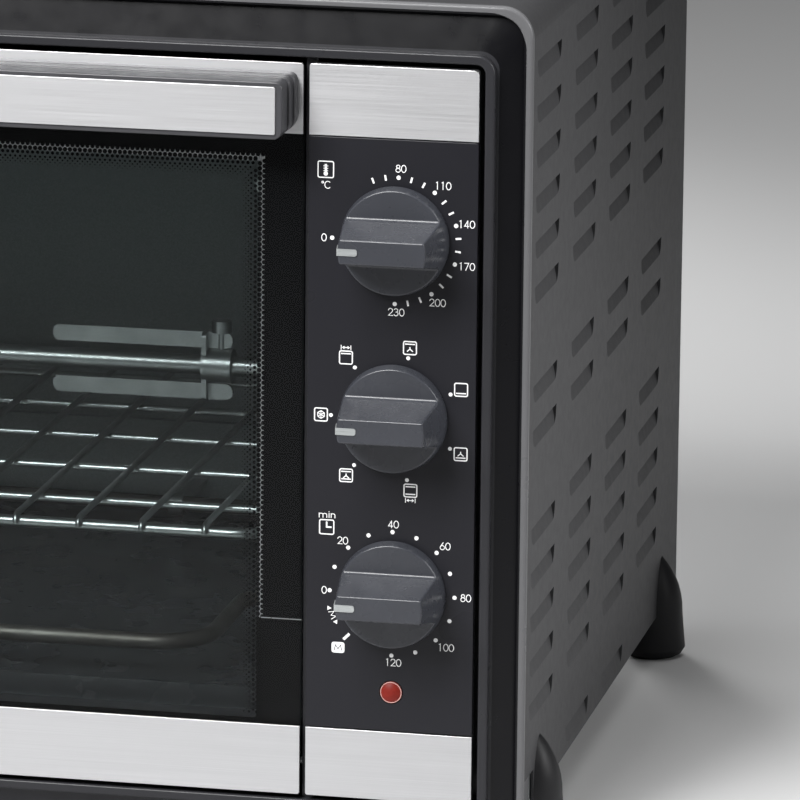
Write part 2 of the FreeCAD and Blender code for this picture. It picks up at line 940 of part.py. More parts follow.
def foot_body(x, y):
    """A turned foot whose rounded tip climbs the side of the case."""
    tip = case_lift + foot_tip_above_case
    low = foot_pad_proud
    curve_radius = 0.5 * foot_tip_radius + foot_curve_share * foot_waist_radius
    curve_z = case_lift + foot_curve_at * foot_tip_above_case
    edges = [
        Part.LineSegment(V(0, 0, low), V(foot_radius - foot_edge, 0, low)),
        Part.LineSegment(V(foot_radius - foot_edge, 0, low), V(foot_radius, 0, low + foot_edge_height)),
        Part.LineSegment(V(foot_radius, 0, low + foot_edge_height), V(foot_waist_radius, 0, case_lift)),
        Part.Arc(V(foot_waist_radius, 0, case_lift), V(curve_radius, 0, curve_z),
                 V(foot_tip_radius, 0, tip)),
        Part.LineSegment(V(foot_tip_radius, 0, tip), V(0, 0, tip)),
        Part.LineSegment(V(0, 0, tip), V(0, 0, low)),
    ]
    profile = Part.Face(Part.Wire([edge.toShape() for edge in edges]))
    body = profile.revolve(V(0, 0, 0), V(0, 0, 1), 360)
    body.translate(V(x, y, 0))
    side = math.copysign(half, x)
    room = 3 * foot_radius
    low_x, high_x = sorted([side, x - math.copysign(room, x)])
    case_block = block(low_x, high_x, y - room, y + room, case_lift, tip + 1)
    pocket = rod_z(foot_pad_radius + foot_pad_play, x, y, 0, foot_pad_height)
    return body.cut([case_block, pocket])


def feet():
    bodies = []
    pads = []
    for y in foot_ys:
        for x in (-foot_x, foot_x):
            bodies.append(foot_body(x, y))
            pads.append(rod_z(foot_pad_radius, x, y, 0, foot_pad_height))
    return Part.makeCompound(bodies), Part.makeCompound(pads)


foot_bodies, foot_pad_bodies = feet()
export("feet", foot_bodies)
export("foot_pads", foot_pad_bodies)


# Control panel

dial_heights = [dial_z + dial_pitch, dial_z, dial_z - dial_pitch]
lamp_z = front_bottom + lamp_up


def strip(x0, x1, z0, z1, radii, back):
    """A bright strip across the front, a little proud of the panel and the glass."""
    plate = prism(rect(x0, x1, z0, z1, *radii), "xz", deep(-strip_proud), deep(back))
    return front_softened(plate, plate_edge_radius)


def panel_carrier():
    carrier = prism(rect(panel_left, front_right, front_bottom, front_top, 1.5), "xz",
                    deep(carrier_front), deep(carrier_back))
    bosses = []
    inset = carrier_boss / 2 + boss_inset
    for x in (panel_left + inset, front_right - inset):
        for z in (front_bottom + boss_from_end, front_top - boss_from_end):
            bosses.append(rod_y(carrier_boss / 2, x, deep(carrier_back), deep(frame_depth), z))
    carrier = carrier.fuse(bosses).removeSplitter()
    holes = [rod_y(shaft_hole_radius, dial_x, deep(0), deep(carrier_back) + 1, z)
             for z in dial_heights]
    holes.append(rod_y(lamp_radius + lamp_hole_clearance, dial_x, deep(0),
                       deep(carrier_back) + 1, lamp_z))
    return drilled(carrier, holes)


def control_panel():
    plate = prism(rect(panel_left, front_right, lower_strip_top + panel_seam,
                       upper_strip_bottom - panel_seam, 0.8), "xz", deep(0), deep(panel_thickness))
    plate = front_softened(plate, panel_edge_radius)
    holes = [rod_y(shaft_hole_radius, dial_x, deep(-1), deep(panel_thickness) + 1, z)
             for z in dial_heights]
    holes.append(rod_y(lamp_radius + lamp_hole_clearance, dial_x, deep(-1),
                       deep(panel_thickness) + 1, lamp_z))
    return drilled(plate, holes)


export("panel_carrier", panel_carrier())
export("control_panel", control_panel())
export("panel_top_strip", strip(panel_left, front_right, upper_strip_bottom, front_top,
                                (0, 0, strip_corner, strip_corner / 2), carrier_front))
export("panel_bottom_strip", strip(panel_left, front_right, front_bottom, lower_strip_top,
                                   (strip_corner / 2, strip_corner, 0, 0), carrier_front))


def lamp_lens():
    """A domed lens standing a little out of the panel."""
    back = deep(carrier_back)
    front = deep(0)
    stem = rod_y(lamp_radius, dial_x, front, back, lamp_z)
    dome_radius = (lamp_radius ** 2 + lamp_rise ** 2) / (2 * lamp_rise)
    ball = Part.makeSphere(dome_radius, V(dial_x, front - lamp_rise + dome_radius, lamp_z))
    room = 2 * lamp_radius
    cap = ball.common(block(dial_x - room, dial_x + room, front - room, front,
                            lamp_z - room, lamp_z + room))
    return stem.fuse(cap).removeSplitter()


export("power_lamp_lens", lamp_lens())
export("power_lamp_body", rod_y(lamp_radius + lamp_body_wall, dial_x, deep(carrier_back),
                                deep(carrier_back + lamp_body_length), lamp_z))


# Knobs, pointers, shafts and the switches they turn

def knob(z):
    """A tapered round knob: flat shoulders above and below a grip bar that points to the left."""
    base = deep(-knob_gap)
    front = base - knob_height
    body = Part.makeCone(knob_base_radius, knob_front_radius, knob_height,
                         V(dial_x, base, z), V(0, -1, 0))
    shoulder = base - knob_skirt
    for side in (1, -1):
        points = [
            (shoulder, z + side * grip_base_half, 0),
            (front - 1, z + side * grip_front_half, 0),
            (front - 1, z + side * 2 * knob_base_radius, 0),
            (shoulder, z + side * 2 * knob_base_radius, 0),
        ]
        body = body.cut(prism(points, "yz", dial_x - 2 * knob_base_radius,
                              dial_x + 2 * knob_base_radius))
    body = soft_knob(body.removeSplitter(), shoulder, front)
    hollow_depth = knob_skirt - knob_shell
    narrowing = hollow_depth * (knob_base_radius - knob_front_radius) / knob_height
    inner_radius = knob_base_radius - knob_shell
    hollow = Part.makeCone(inner_radius, inner_radius - narrowing, hollow_depth,
                           V(dial_x, base, z), V(0, -1, 0))
    hub = rod_y(knob_hub_radius, dial_x, base - knob_skirt, base, z)
    socket = rod_y(shaft_radius, dial_x, base - shaft_in_knob, base + 1, z)
    body = body.cut(hollow.cut(hub))
    body = body.cut(socket)
    return body.cut(pointer_shape(z, 0.02))


def soft_knob(body, shoulder, front):
    """The knob with a fillet at each foot of the grip and a small round on the other edges."""
    level = 0.01

    def grip_foot(box):
        return abs(box.YMin - shoulder) < level and box.YLength < level and box.ZLength < level

    def rim_or_ridge(box):
        on_front = box.YMax < front + level
        rim = abs(box.YMin - shoulder) < level and box.YLength < level and box.ZLength > 1
        ridge = box.YLength > knob_height / 2 and box.XLength < knob_base_radius / 2
        return on_front or rim or ridge

    body = softened(body, grip_foot_radius, grip_foot)
    return softened(body, knob_edge_radius, rim_or_ridge)


def pointer_shape(z, grow):
    """The bright insert at the pointer's end of the grip, bent over its sloping end."""
    base = deep(-knob_gap)
    front = base - knob_height
    taper = (knob_base_radius - knob_front_radius) / knob_height
    tip = dial_x - knob_front_radius
    proud = pointer_proud
    sink = pointer_sink + grow
    low_end = front + pointer_run
    low_tip = tip - proud - taper * pointer_run
    points = [
        (tip + pointer_length + grow, front - proud, 0),
        (tip - proud, front - proud, 0.5),
        (low_tip, low_end, 0),
        (low_tip + sink + proud, low_end + grow, 0),
        (tip + sink, front + sink, 0),
        (tip + pointer_length + grow, front + sink, 0),
    ]
    half_width = pointer_width / 2 + grow
    body = prism(points, "xy", z - half_width, z + half_width)
    end = tip + pointer_length + grow - 0.01

    def end_corner(box):
        return box.XMin > end and box.YLength > box.ZLength

    return softened(body, pointer_end_radius + grow, end_corner)


def shaft(z):
    return rod_y(shaft_radius, dial_x, deep(-knob_gap - shaft_in_knob),
                 deep(carrier_back + shaft_in_body), z)


def switch_body(z, width, height, depth):
    """A boxy switch with a lid, three terminal tabs and a bore for the knob's shaft."""
    y0 = deep(carrier_back)
    side = (dial_x - width / 2, dial_x + width / 2, z - height / 2, z + height / 2)
    body = prism(rect(*side, switch_corner), "xz", y0, y0 + depth)
    lid_back = y0 + depth + switch_lid_depth
    lid = prism(rect(*grown(side, -switch_lid_inset), switch_corner / 2), "xz", y0 + depth, lid_back)
    tab_z = z - height / 2 + 2 * switch_lid_inset
    tabs = []
    for i in (-1, 0, 1):
        x = dial_x + i * tab_pitch
        tabs.append(block(x - tab_width / 2, x + tab_width / 2, lid_back, lid_back + tab_length,
                          tab_z, tab_z + tab_thickness))
    body = body.fuse([lid] + tabs).removeSplitter()
    bore = rod_y(shaft_radius + shaft_clearance, dial_x, y0 - 1, y0 + shaft_in_body + 0.5, z)
    return body.cut(bore)


names = [
    ("temperature_knob", "temperature_pointer", "thermostat_shaft", "thermostat_body"),
    ("function_knob", "function_pointer", "selector_shaft", "selector_body"),
    ("timer_knob", "timer_pointer", "timer_shaft", "timer_body"),
]
switch_sizes = [thermostat_size, selector_size, timer_size]
for (knob_name, pointer_name, shaft_name, body_name), size, z in zip(names, switch_sizes, dial_heights):
    export(knob_name, knob(z))
    export(pointer_name, pointer_shape(z, 0.0))
    export(shaft_name, shaft(z))
    export(body_name, switch_body(z, *size))


# Door

rail_top_z = front_bottom + rail_top
frame_x0 = door_left + door_frame_inset
frame_x1 = door_right - door_frame_inset
window_box = (door_left + window_side, door_right - window_side,
              front_bottom + window_bottom, front_top - window_top)
glass_front = strip_back
glass_back = glass_front + glass_thickness
inner_pane_front = door_depth - inner_glass_thickness


def door_frame():
    ring_bottom = rail_top_z - 2.0
    ring = prism(rect(frame_x0, frame_x1, ring_bottom, front_top - door_frame_inset, 3.0), "xz",
                 deep(glass_back), deep(door_depth))
    rail = prism([
        (deep(strip_back), front_bottom + door_frame_inset, 0.5),
        (deep(rail_depth), front_bottom + door_frame_inset, 2.5),
        (deep(rail_depth), rail_top_z, 0),
        (deep(strip_back), rail_top_z, 0),
    ], "yz", frame_x0, frame_x1)
    rebate = prism(rect(*grown(window_box, glass_rebate), 3.0), "xz",
                   deep(inner_pane_front), deep(door_depth) + 1)
    window = prism(rect(*window_box, window_corner), "xz", deep(0), deep(door_depth) + 1)
    body = ring.fuse(rail).cut([rebate, window])
    return drilled(body.removeSplitter(), hinge_bores(hinge_pin_radius + hinge_clearance))


def glass_clips():
    """Four small steel clips that hold the inner pane, each on the frame beside it."""
    x0, x1, z0, z1 = grown(window_box, glass_rebate)
    w = glass_clip_width / 2
    h = glass_clip_height / 2
    clips = []
    for z in (z0 + glass_clip_from_end, z1 - glass_clip_from_end):
        for x in (x0, x1):
            clips.append(block(x - w, x + w, deep(door_depth), deep(door_depth) + glass_clip_thickness,
                               z - h, z + h))
    return Part.makeCompound(clips)


outer_pane = prism(rect(door_left, door_right, rail_top_z, front_top - 1.0, 0, 0, 1.0, 1.0), "xz",
                   deep(glass_front), deep(glass_back))
outer_pane = front_softened(outer_pane, glass_edge_radius)
inner_pane = prism(rect(*grown(window_box, glass_rebate - glass_play), 2.5), "xz",
                   deep(inner_pane_front), deep(door_depth))
export("door_frame", door_frame())
export("outer_glass", outer_pane)
export("inner_glass", inner_pane)
export("glass_clips", glass_clips())
export("door_top_strip", strip(door_left, door_right, upper_strip_bottom, front_top,
                               (0, 0, strip_corner / 2, strip_corner), strip_back))
export("door_bottom_strip", strip(door_left, door_right, front_bottom, lower_strip_top,
                                  (strip_corner, strip_corner / 2, 0, 0), strip_back))


# Handle

handle_x0 = door_left + handle_end_inset
handle_x1 = door_right - handle_end_inset
handle_top = front_top - handle_drop
handle_bottom = handle_top - handle_height
handle_front = handle_reach - handle_plate_thickness


def handle_layer(y0, y1, inset, corner):
    """One layer of the handle: its ends and its top step in, its underside stays level."""
    points = rect(handle_x0 + inset, handle_x1 - inset,
                  handle_bottom, handle_top - handle_top_share * inset,
                  corner, corner, handle_top_radius, handle_top_radius)
    return front_softened(prism(points, "xz", deep(y0), deep(y1)), handle_edge_radius)


def handle_body():
    starts = [start for start, _, _ in handle_layers] + [handle_front]
    layers = []
    for i, (start, inset, corner) in enumerate(handle_layers):
        layers.append(handle_layer(-starts[i + 1], -start, inset, corner))
    body = layers[0].fuse(layers[1:]).removeSplitter()
    finger = block(handle_x0 + 2 * handle_wall, handle_x1 - 2 * handle_wall,
                   deep(-handle_front + handle_wall), deep(-strip_proud - handle_back_wall),
                   handle_bottom - 1, handle_bottom + finger_depth)
    return body.cut(finger)


def handle_plate():
    inset = handle_layers[-1][1]
    side = inset + handle_rim_side
    top = handle_top - handle_top_share * inset - handle_rim_top
    points = rect(handle_x0 + side, handle_x1 - side, handle_bottom + handle_rim_bottom, top,
                  handle_plate_corner)
    return front_softened(prism(points, "xz", deep(-handle_reach), deep(-handle_front)),
                          plate_edge_radius)


export("handle_body", handle_body())
export("handle_plate", handle_plate())


# Wire rack

def rack_frame_ring(x0, x1, y0, y1, z):
    """The outer bar of the rack: a rectangle of round bar with bent corners."""
    path = outline(rect(x0, x1, y0, y1, rack_corner), "xy", z)
    start = path.Edges[0].valueAt(path.Edges[0].FirstParameter)
    direction = path.Edges[0].tangentAt(path.Edges[0].FirstParameter)
    section = Part.Wire(Part.Circle(start, direction, rack_bar_radius).toShape())
    return path.makePipeShell([section], True, False)


def rack_wire(x, y0, y1, z):
    """A wire along the rack that bends down round the front bar and round the rear bar."""
    bend = rack_bar_radius + rack_wire_radius - rack_weld
    top = z + bend
    diagonal = bend * math.sqrt(0.5)
    front_bend = Part.Arc(V(x, y0 - bend, z), V(x, y0 - diagonal, z + diagonal), V(x, y0, top))
    rear_bend = Part.Arc(V(x, y1, top), V(x, y1 + diagonal, z + diagonal), V(x, y1 + bend, z))
    run = Part.LineSegment(V(x, y0, top), V(x, y1, top))
    path = Part.Wire([front_bend.toShape(), run.toShape(), rear_bend.toShape()])
    section = Part.Wire(Part.Circle(V(x, y0 - bend, z), V(0, 0, 1), rack_wire_radius).toShape())
    return path.makePipeShell([section], True, False)


def wire_rack():
    reach = rack_side_gap + rack_bar_radius
    x0 = cavity_left + reach
    x1 = cavity_right - reach
    y0 = mouth_y + rack_front_back_gap
    y1 = back_y - rack_front_back_gap
    z = runner_z(runner_levels[rack_level]) + rack_bar_radius
    wires = []
    first = x0 + rack_wire_from_side
    pitch = (x1 - rack_wire_from_side - first) / (rack_wire_count - 1)
    for i in range(rack_wire_count):
        wires.append(rack_wire(first + i * pitch, y0, y1, z))
    cross_z = z + rack_bar_radius - rack_cross_radius
    for i in range(rack_cross_count):
        y = y0 + rack_cross_first + i * rack_cross_pitch
        wires.append(rod_x(rack_cross_radius, x0, x1, y, cross_z))
    return rack_frame_ring(x0, x1, y0, y1, z).fuse(wires).removeSplitter()


export("wire_rack", wire_rack())


# Heating tubes

def heater(z):
    """A level loop of tube whose two leads leave through the right wall."""
    x0 = cavity_left + heater_side_gap
    x1 = cavity_right - heater_side_gap
    y0 = mouth_y + heater_front_gap
    y1 = back_y - heater_back_gap
    end = cavity_right + wall_sheet + heater_lead_out
    lead_front, lead_back = heater_lead_ys()
    bend = heater_bend / 2
    corners = [
        (x1, lead_front, bend),
        (x1, y0, heater_bend),
        (x0, y0, heater_bend),
        (x0, y1, heater_bend),
        (x1, y1, heater_bend),
        (x1, lead_back, bend),
    ]
    path = open_path([(end, lead_front, 0)] + corners + [(end, lead_back, 0)], z)
    section = Part.Wire(Part.Circle(V(end, lead_front, z), V(-1, 0, 0), heater_radius).toShape())
    return path.makePipeShell([section], True, False)


def open_path(points, z):
    """Straight runs joined by tangent arcs, in a level plane."""
    edges = []
    here = V(points[0][0], points[0][1], z)
    for i in range(1, len(points) - 1):
        u, v, radius = points[i]
        du, dv = unit(points[i - 1][0] - u, points[i - 1][1] - v)
        eu, ev = unit(points[i + 1][0] - u, points[i + 1][1] - v)
        half_angle = math.acos(du * eu + dv * ev) / 2
        run = radius / math.tan(half_angle)
        bu, bv = unit(du + eu, dv + ev)
        reach = radius / math.sin(half_angle) - radius
        start = V(u + du * run, v + dv * run, z)
        middle = V(u + bu * reach, v + bv * reach, z)
        end = V(u + eu * run, v + ev * run, z)
        edges.append(Part.LineSegment(here, start).toShape())
        edges.append(Part.Arc(start, middle, end).toShape())
        here = end
    last = V(points[-1][0], points[-1][1], z)
    edges.append(Part.LineSegment(here, last).toShape())
    return Part.Wire(edges)


def heater_clips():
    """Arms from the back wall, each with a ring round the rear run of a heating tube."""
    clips = []
    run_y = back_y - heater_back_gap
    w = heater_clip_width / 2
    for z in (lower_heater_z, upper_heater_z):
        for x in (door_middle - heater_clip_aside, door_middle + heater_clip_aside):
            arm = block(x - w, x + w, run_y, back_y, z - heater_clip_arm / 2, z + heater_clip_arm / 2)
            ring = rod_x(heater_radius + heater_clip_wall, x - w, x + w, run_y, z)
            hole = rod_x(heater_radius, x - w - 1, x + w + 1, run_y, z)
            clips.append(arm.fuse(ring).cut(hole))
    return Part.makeCompound(clips)


export("top_heater", heater(upper_heater_z))
export("bottom_heater", heater(lower_heater_z))
export("heater_clips", heater_clips())


# Thermostat bulb and its tube

bulb_x = cavity_right - bulb_gap
bulb_end = capillary_y - bulb_before_tube


def thermostat_bulb():
    """The sensing bulb in the cooking space and the thin tube from it to the thermostat."""
    body_back = deep(carrier_back) + thermostat_size[2] + switch_lid_depth
    bulb = rod_y(bulb_radius, bulb_x, bulb_end - bulb_length, bulb_end, capillary_z)
    tube_start = bulb_end - 2 * capillary_radius
    turn_x = dial_x + capillary_aside
    points = [
        (bulb_x, tube_start, 0),
        (bulb_x, capillary_y, capillary_bends[0]),
        (turn_x, capillary_y, capillary_bends[1]),
        (turn_x, body_back, 0),
    ]
    path = open_path(points, capillary_z)
    section = Part.Wire(Part.Circle(V(bulb_x, tube_start, capillary_z), V(0, 1, 0),
                                    capillary_radius).toShape())
    tube = path.makePipeShell([section], True, False)
    return bulb.fuse(tube).removeSplitter()


def bulb_clips():
    """Arms from the right wall, each with a ring round the bulb."""
    w = bulb_clip_width / 2
    clips = []
    for back in bulb_clip_places:
        y = bulb_end - back
        arm = block(bulb_x, cavity_right, y - w, y + w,
                    capillary_z - bulb_clip_arm / 2, capillary_z + bulb_clip_arm / 2)
        ring = rod_y(bulb_radius + bulb_clip_wall, bulb_x, y - w, y + w, capillary_z)
        hole = rod_y(bulb_radius, bulb_x, y - w - 1, y + w + 1, capillary_z)
        clips.append(arm.fuse(ring).cut(hole))
    return Part.makeCompound(clips)


export("thermostat_bulb", thermostat_bulb())
export("bulb_clips", bulb_clips())


# Spit

wall_outer = cavity_right + wall_sheet
socket_x1 = cavity_right - socket_wall_gap
socket_x0 = socket_x1 - socket_length


def drive_socket():
    """The cup with a square hole that turns the spit, on its short drive shaft."""
    cup = rod_x(socket_radius, socket_x0, socket_x1, spit_y, spit_z)
    s = socket_square / 2
    hole = block(socket_x0 - 1, socket_x0 + socket_mouth, spit_y - s, spit_y + s,
                 spit_z - s, spit_z + s)
    drive = rod_x(shaft_radius, socket_x1, wall_outer + drive_length, spit_y, spit_z)
    return cup.cut(hole).fuse(drive)


def spit_rod():
    """A round rod, pointed at the left, square where it enters the drive socket."""
    x0 = cavity_left + spit_end_gap
    x1 = socket_x0 - spit_play
    rod = rod_x(spit_radius, x0 + spit_point, x1, spit_y, spit_z)
    point = Part.makeCone(spit_point_radius, spit_radius, spit_point, V(x0, spit_y, spit_z), V(1, 0, 0))
    s = socket_square / 2 - socket_play
    square = block(x1 - 1, x1 + spit_square_length, spit_y - s, spit_y + s, spit_z - s, spit_z + s)
    return rod.fuse([point, square]).removeSplitter()


def fork_places():
    """The X of each fork's outer face, with the way its prongs point."""
    return [(cavity_left + fork_inset + fork_left_extra, 1), (cavity_right - fork_inset, -1)]


def spit_fork(x, way):
    """A hub clamped on the rod, with a flat bar across it and two flat prongs with round ends."""
    inner = x + way * fork_hub_length
    low, high = sorted([x, inner])
    hub = rod_x(fork_hub_radius, low, high, spit_y, spit_z)
    low, high = sorted([inner - way * fork_thickness, inner])
    outer = fork_prong_offset + fork_prong_height / 2
    w = fork_bridge_width / 2
    bridge = prism(rect(spit_y - w, spit_y + w, spit_z - outer, spit_z + outer, fork_thickness),
                   "yz", low, high)
    low, high = sorted([x, inner + way * fork_reach])
    h = fork_prong_height / 2
    prongs = []
    for side in (-1, 1):
        z = spit_z + side * fork_prong_offset
        prongs.append(prism(rect(low, high, z - h, z + h, h - 0.1), "xz",
                            spit_y - fork_thickness / 2, spit_y + fork_thickness / 2))
    fork = hub.fuse([bridge] + prongs).removeSplitter()
    screw_x = x + way * fork_hub_length * fork_screw_at
    screw_hole = rod_z(fork_screw_radius, screw_x, spit_y, spit_z, spit_z + outer + 1)
    bore = rod_x(spit_radius, low - 1, high + 1, spit_y, spit_z)
    return fork.cut([bore, screw_hole])


def fork_screw(x, way):
    """The thumb screw that clamps a fork: it passes the upper prong and presses on the rod."""
    screw_x = x + way * fork_hub_length * fork_screw_at
    top = spit_z + fork_prong_offset + fork_prong_height / 2
    stem = rod_z(fork_screw_radius, screw_x, spit_y, spit_z + spit_radius, top + 1)
    head = rod_z(fork_screw_head_radius, screw_x, spit_y, top, top + fork_screw_head_height)
    return stem.fuse(head)


def spit_rest():
    """A cradle on the left wall: the rod drops into its slot from above."""
    x0 = cavity_left
    x1 = cavity_left + rest_depth
    y0 = spit_y - rest_half_width
    y1 = spit_y + rest_half_width
    z0 = spit_z - rest_below
    z1 = spit_z + rest_above
    foot = block(x0, x0 + rest_sheet, y0, y1, z0, z1)
    arm = block(x0, x1, y0, y1, z0, z0 + rest_sheet)
    cheek = block(x1 - rest_sheet, x1, y0, y1, z0, z1)
    slot_radius = spit_radius + spit_play
    slot_x0 = x1 - 2 * rest_sheet
    slot = block(slot_x0, x1 + 1, spit_y - slot_radius, spit_y + slot_radius, spit_z, z1 + 1)
    seat = rod_x(slot_radius, slot_x0, x1 + 1, spit_y, spit_z)
    return foot.fuse([arm, cheek]).removeSplitter().cut([slot, seat])


def spit_motor():
    """The slow motor behind the right wall, on a collar and two ears."""
    x0 = wall_outer
    body_x = x0 + motor_stand_off
    h = motor_size / 2
    case = prism(rect(spit_y - h, spit_y + h, spit_z - h, spit_z + h, motor_corner), "yz",
                 body_x, x0 + motor_depth)
    collar = rod_x(motor_collar_radius, x0, body_x, spit_y, spit_z)
    away = h - motor_ear_inset
    ears = [rod_x(motor_ear_radius, x0, body_x, spit_y + i * away, spit_z + i * away)
            for i in (-1, 1)]
    bore = rod_x(shaft_radius + shaft_clearance, x0 - 1, x0 + drive_length + 0.5, spit_y, spit_z)
    return case.fuse([collar] + ears).removeSplitter().cut(bore)


export("drive_socket", drive_socket())
export("spit_rod", spit_rod())
export("spit_forks", Part.makeCompound([spit_fork(x, way) for x, way in fork_places()]))
export("fork_screws", Part.makeCompound([fork_screw(x, way) for x, way in fork_places()]))
export("spit_rest", spit_rest())
export("spit_motor", spit_motor())


# Convection fan

def fan_housing():
    """The can behind the right wall that the fan turns in."""
    x0 = wall_outer
    x1 = x0 + fan_housing_depth
    can = rod_x(fan_housing_radius, x0, x1, fan_y, fan_z)
    inside = rod_x(fan_housing_radius - wall_sheet, x0 - 1, x1 - wall_sheet, fan_y, fan_z)
    hole = rod_x(shaft_radius + spit_play, x1 - 2 * wall_sheet, x1 + 1, fan_y, fan_z)
    return can.cut([inside, hole])


def fan_blade():
    """A disc with a hub and straight vanes that throw the air outward."""
    x0 = wall_outer + fan_gap
    disc_x = x0 + fan_blade_height
    disc = rod_x(fan_blade_radius, disc_x, disc_x + fan_disc, fan_y, fan_z)
    hub_end = disc_x + fan_hub_extra
    hub = rod_x(fan_hub_radius, x0, hub_end, fan_y, fan_z)
    vanes = []
    for i in range(fan_blade_count):
        vane = block(x0 + fan_vane_gap, disc_x + fan_disc / 2,
                     fan_y + fan_vane_start, fan_y + fan_blade_radius,
                     fan_z - fan_vane_thickness / 2, fan_z + fan_vane_thickness / 2)
        vane.rotate(V(0, fan_y, fan_z), V(1, 0, 0), 360.0 * i / fan_blade_count)
        vanes.append(vane)
    fan = disc.fuse([hub] + vanes).removeSplitter()
    return fan.cut(rod_x(shaft_radius, x0 - 1, hub_end + 1, fan_y, fan_z))


def fan_motor():
    """A small motor: a stack of iron with its coil above, between two bearings."""
    x0 = wall_outer + fan_housing_depth
    x1 = x0 + bearing_front
    x2 = x1 + stack_depth
    w = stack_width / 2
    h = stack_height / 2
    stack = prism(rect(fan_y - w, fan_y + w, fan_z - h, fan_z + h, stack_corner), "yz", x1, x2)
    coil = prism(rect(fan_y - coil_width / 2, fan_y + coil_width / 2,
                      fan_z - h - coil_height, fan_z - h, stack_corner), "yz",
                 x1 - coil_overhang, x2 + coil_overhang)
    bearings = [rod_x(bearing_radius, x0, x1, fan_y, fan_z),
                rod_x(bearing_radius, x2, x2 + bearing_back, fan_y, fan_z)]
    motor = stack.fuse([coil] + bearings).removeSplitter()
    bore_end = x0 + fan_shaft_in_motor + 0.5
    return motor.cut(rod_x(shaft_radius + shaft_clearance, x0 - 1, bore_end, fan_y, fan_z))


fan_shaft_end = wall_outer + fan_housing_depth + fan_shaft_in_motor
export("fan_housing", fan_housing())
export("fan_blade", fan_blade())
export("fan_shaft", rod_x(shaft_radius, wall_outer + fan_shaft_start, fan_shaft_end, fan_y, fan_z))
export("fan_motor", fan_motor())


# Crumb tray

def crumb_tray():
    """A shallow tray on the floor that catches crumbs."""
    side = (cavity_left + tray_gap, cavity_right - tray_gap, mouth_y + tray_gap, back_y - tray_gap)
    z1 = floor_z + tray_height
    shell = prism(rect(*side, tray_corner), "xy", floor_z, z1)
    inside = prism(rect(*grown(side, -tray_thickness), tray_corner - tray_thickness), "xy",
                   floor_z + tray_thickness, z1 + 1)
    return shell.cut(inside)


export("crumb_tray", crumb_tray())
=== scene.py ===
# %% [markdown]
# # A mini oven, dressed for its portrait
#
# The oven arrives as a set of solid pieces at their real size, in metres: sheet-metal case, door, knobs,
# rack, spit and so on. Nothing here moves or resizes them. This script gives each piece the finish that the
# real one has, adds the thin things that are printed on top, and sets up a plain studio round it.
# The steps run from the camera and the lamps, through the finishes, to the print on the dials and the glass.

# %% Load the oven
import math

import bpy
from mathutils import Matrix, Vector


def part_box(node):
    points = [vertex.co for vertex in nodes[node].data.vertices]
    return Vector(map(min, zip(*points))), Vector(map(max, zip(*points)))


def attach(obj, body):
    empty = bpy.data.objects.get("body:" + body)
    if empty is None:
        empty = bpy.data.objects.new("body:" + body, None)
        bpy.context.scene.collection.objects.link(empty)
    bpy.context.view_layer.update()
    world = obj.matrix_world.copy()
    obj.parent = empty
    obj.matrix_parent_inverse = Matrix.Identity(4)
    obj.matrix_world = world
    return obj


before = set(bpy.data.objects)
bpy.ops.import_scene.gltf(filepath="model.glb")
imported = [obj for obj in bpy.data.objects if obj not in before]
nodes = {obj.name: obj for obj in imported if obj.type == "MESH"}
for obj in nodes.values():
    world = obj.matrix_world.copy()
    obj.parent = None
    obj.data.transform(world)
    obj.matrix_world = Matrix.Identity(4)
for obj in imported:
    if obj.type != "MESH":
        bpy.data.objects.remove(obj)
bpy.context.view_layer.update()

# %% [markdown]
# ## The camera
#
# The photograph was taken with a long lens from the oven's right, a little above it, and it shows only the
# right-hand third. A camera in Blender needs a place, a direction, a roll and a focal length. The place is
# given from the middle knob, because that knob is the easiest thing to find in the picture. A long lens far
# away keeps the parallel edges nearly parallel, which a short lens close by would spread apart.

# %% Stand the camera at the photograph's place
MM = 0.001
knob_low, knob_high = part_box("function_knob")
dial_x = (knob_low[0] + knob_high[0]) / 2
dial_z = (knob_low[2] + knob_high[2]) / 2
panel_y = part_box("control_panel")[0][1]
middle_dial = Vector((dial_x, panel_y, dial_z))

photo_azimuth = math.radians(11.57)
photo_elevation = math.radians(12.97)
photo_roll = math.radians(0.55)
eye_offset = Vector((492.1, -2392.1, 569.6)) * MM
photo_lens = 301.7

backward = Vector((
    math.sin(photo_azimuth) * math.cos(photo_elevation),
    -math.cos(photo_azimuth) * math.cos(photo_elevation),
    math.sin(photo_elevation),
))
level_right = Vector((math.cos(photo_azimuth), math.sin(photo_azimuth), 0))
level_up = backward.cross(level_right)
right = level_right * math.cos(photo_roll) + level_up * math.sin(photo_roll)
up = level_up * math.cos(photo_roll) - level_right * math.sin(photo_roll)
turned = Matrix((right, up, backward)).transposed().to_4x4()

camera_data = bpy.data.cameras.new("camera")
camera_data.lens = photo_lens
camera_data.sensor_width = 36
camera_data.clip_end = 20
camera = bpy.data.objects.new("camera", camera_data)
camera.matrix_world = Matrix.Translation(middle_dial + eye_offset) @ turned
bpy.context.collection.objects.link(camera)
bpy.context.scene.camera = camera
print("camera at", [round(v, 3) for v in camera.location])

# %% [markdown]
# ## A pale floor and soft light
#
# A product studio stands the object on a pale sheet and lights it with large soft boxes. One large plane
# does for the sheet. Area lamps do for the soft boxes. The key lamp stands high to the front left: it draws
# the bright edges on the knobs and leaves a shadow under each grip. Straight in front it would be mirrored by
# the slope of the frame. A small lamp higher up gives the brushed steel its streak, a weak one on the right
# lights the side panel, a large one hangs over the top, and one behind keeps the rear from going black. A
# soft box can carry a grid that narrows its beam; the spread, in degrees, does the same here. The camera
# doesn't see the lamps themselves, only their light and their mirror images. The room itself stays dim,
# because black plastic mirrors a bright room and then looks grey.

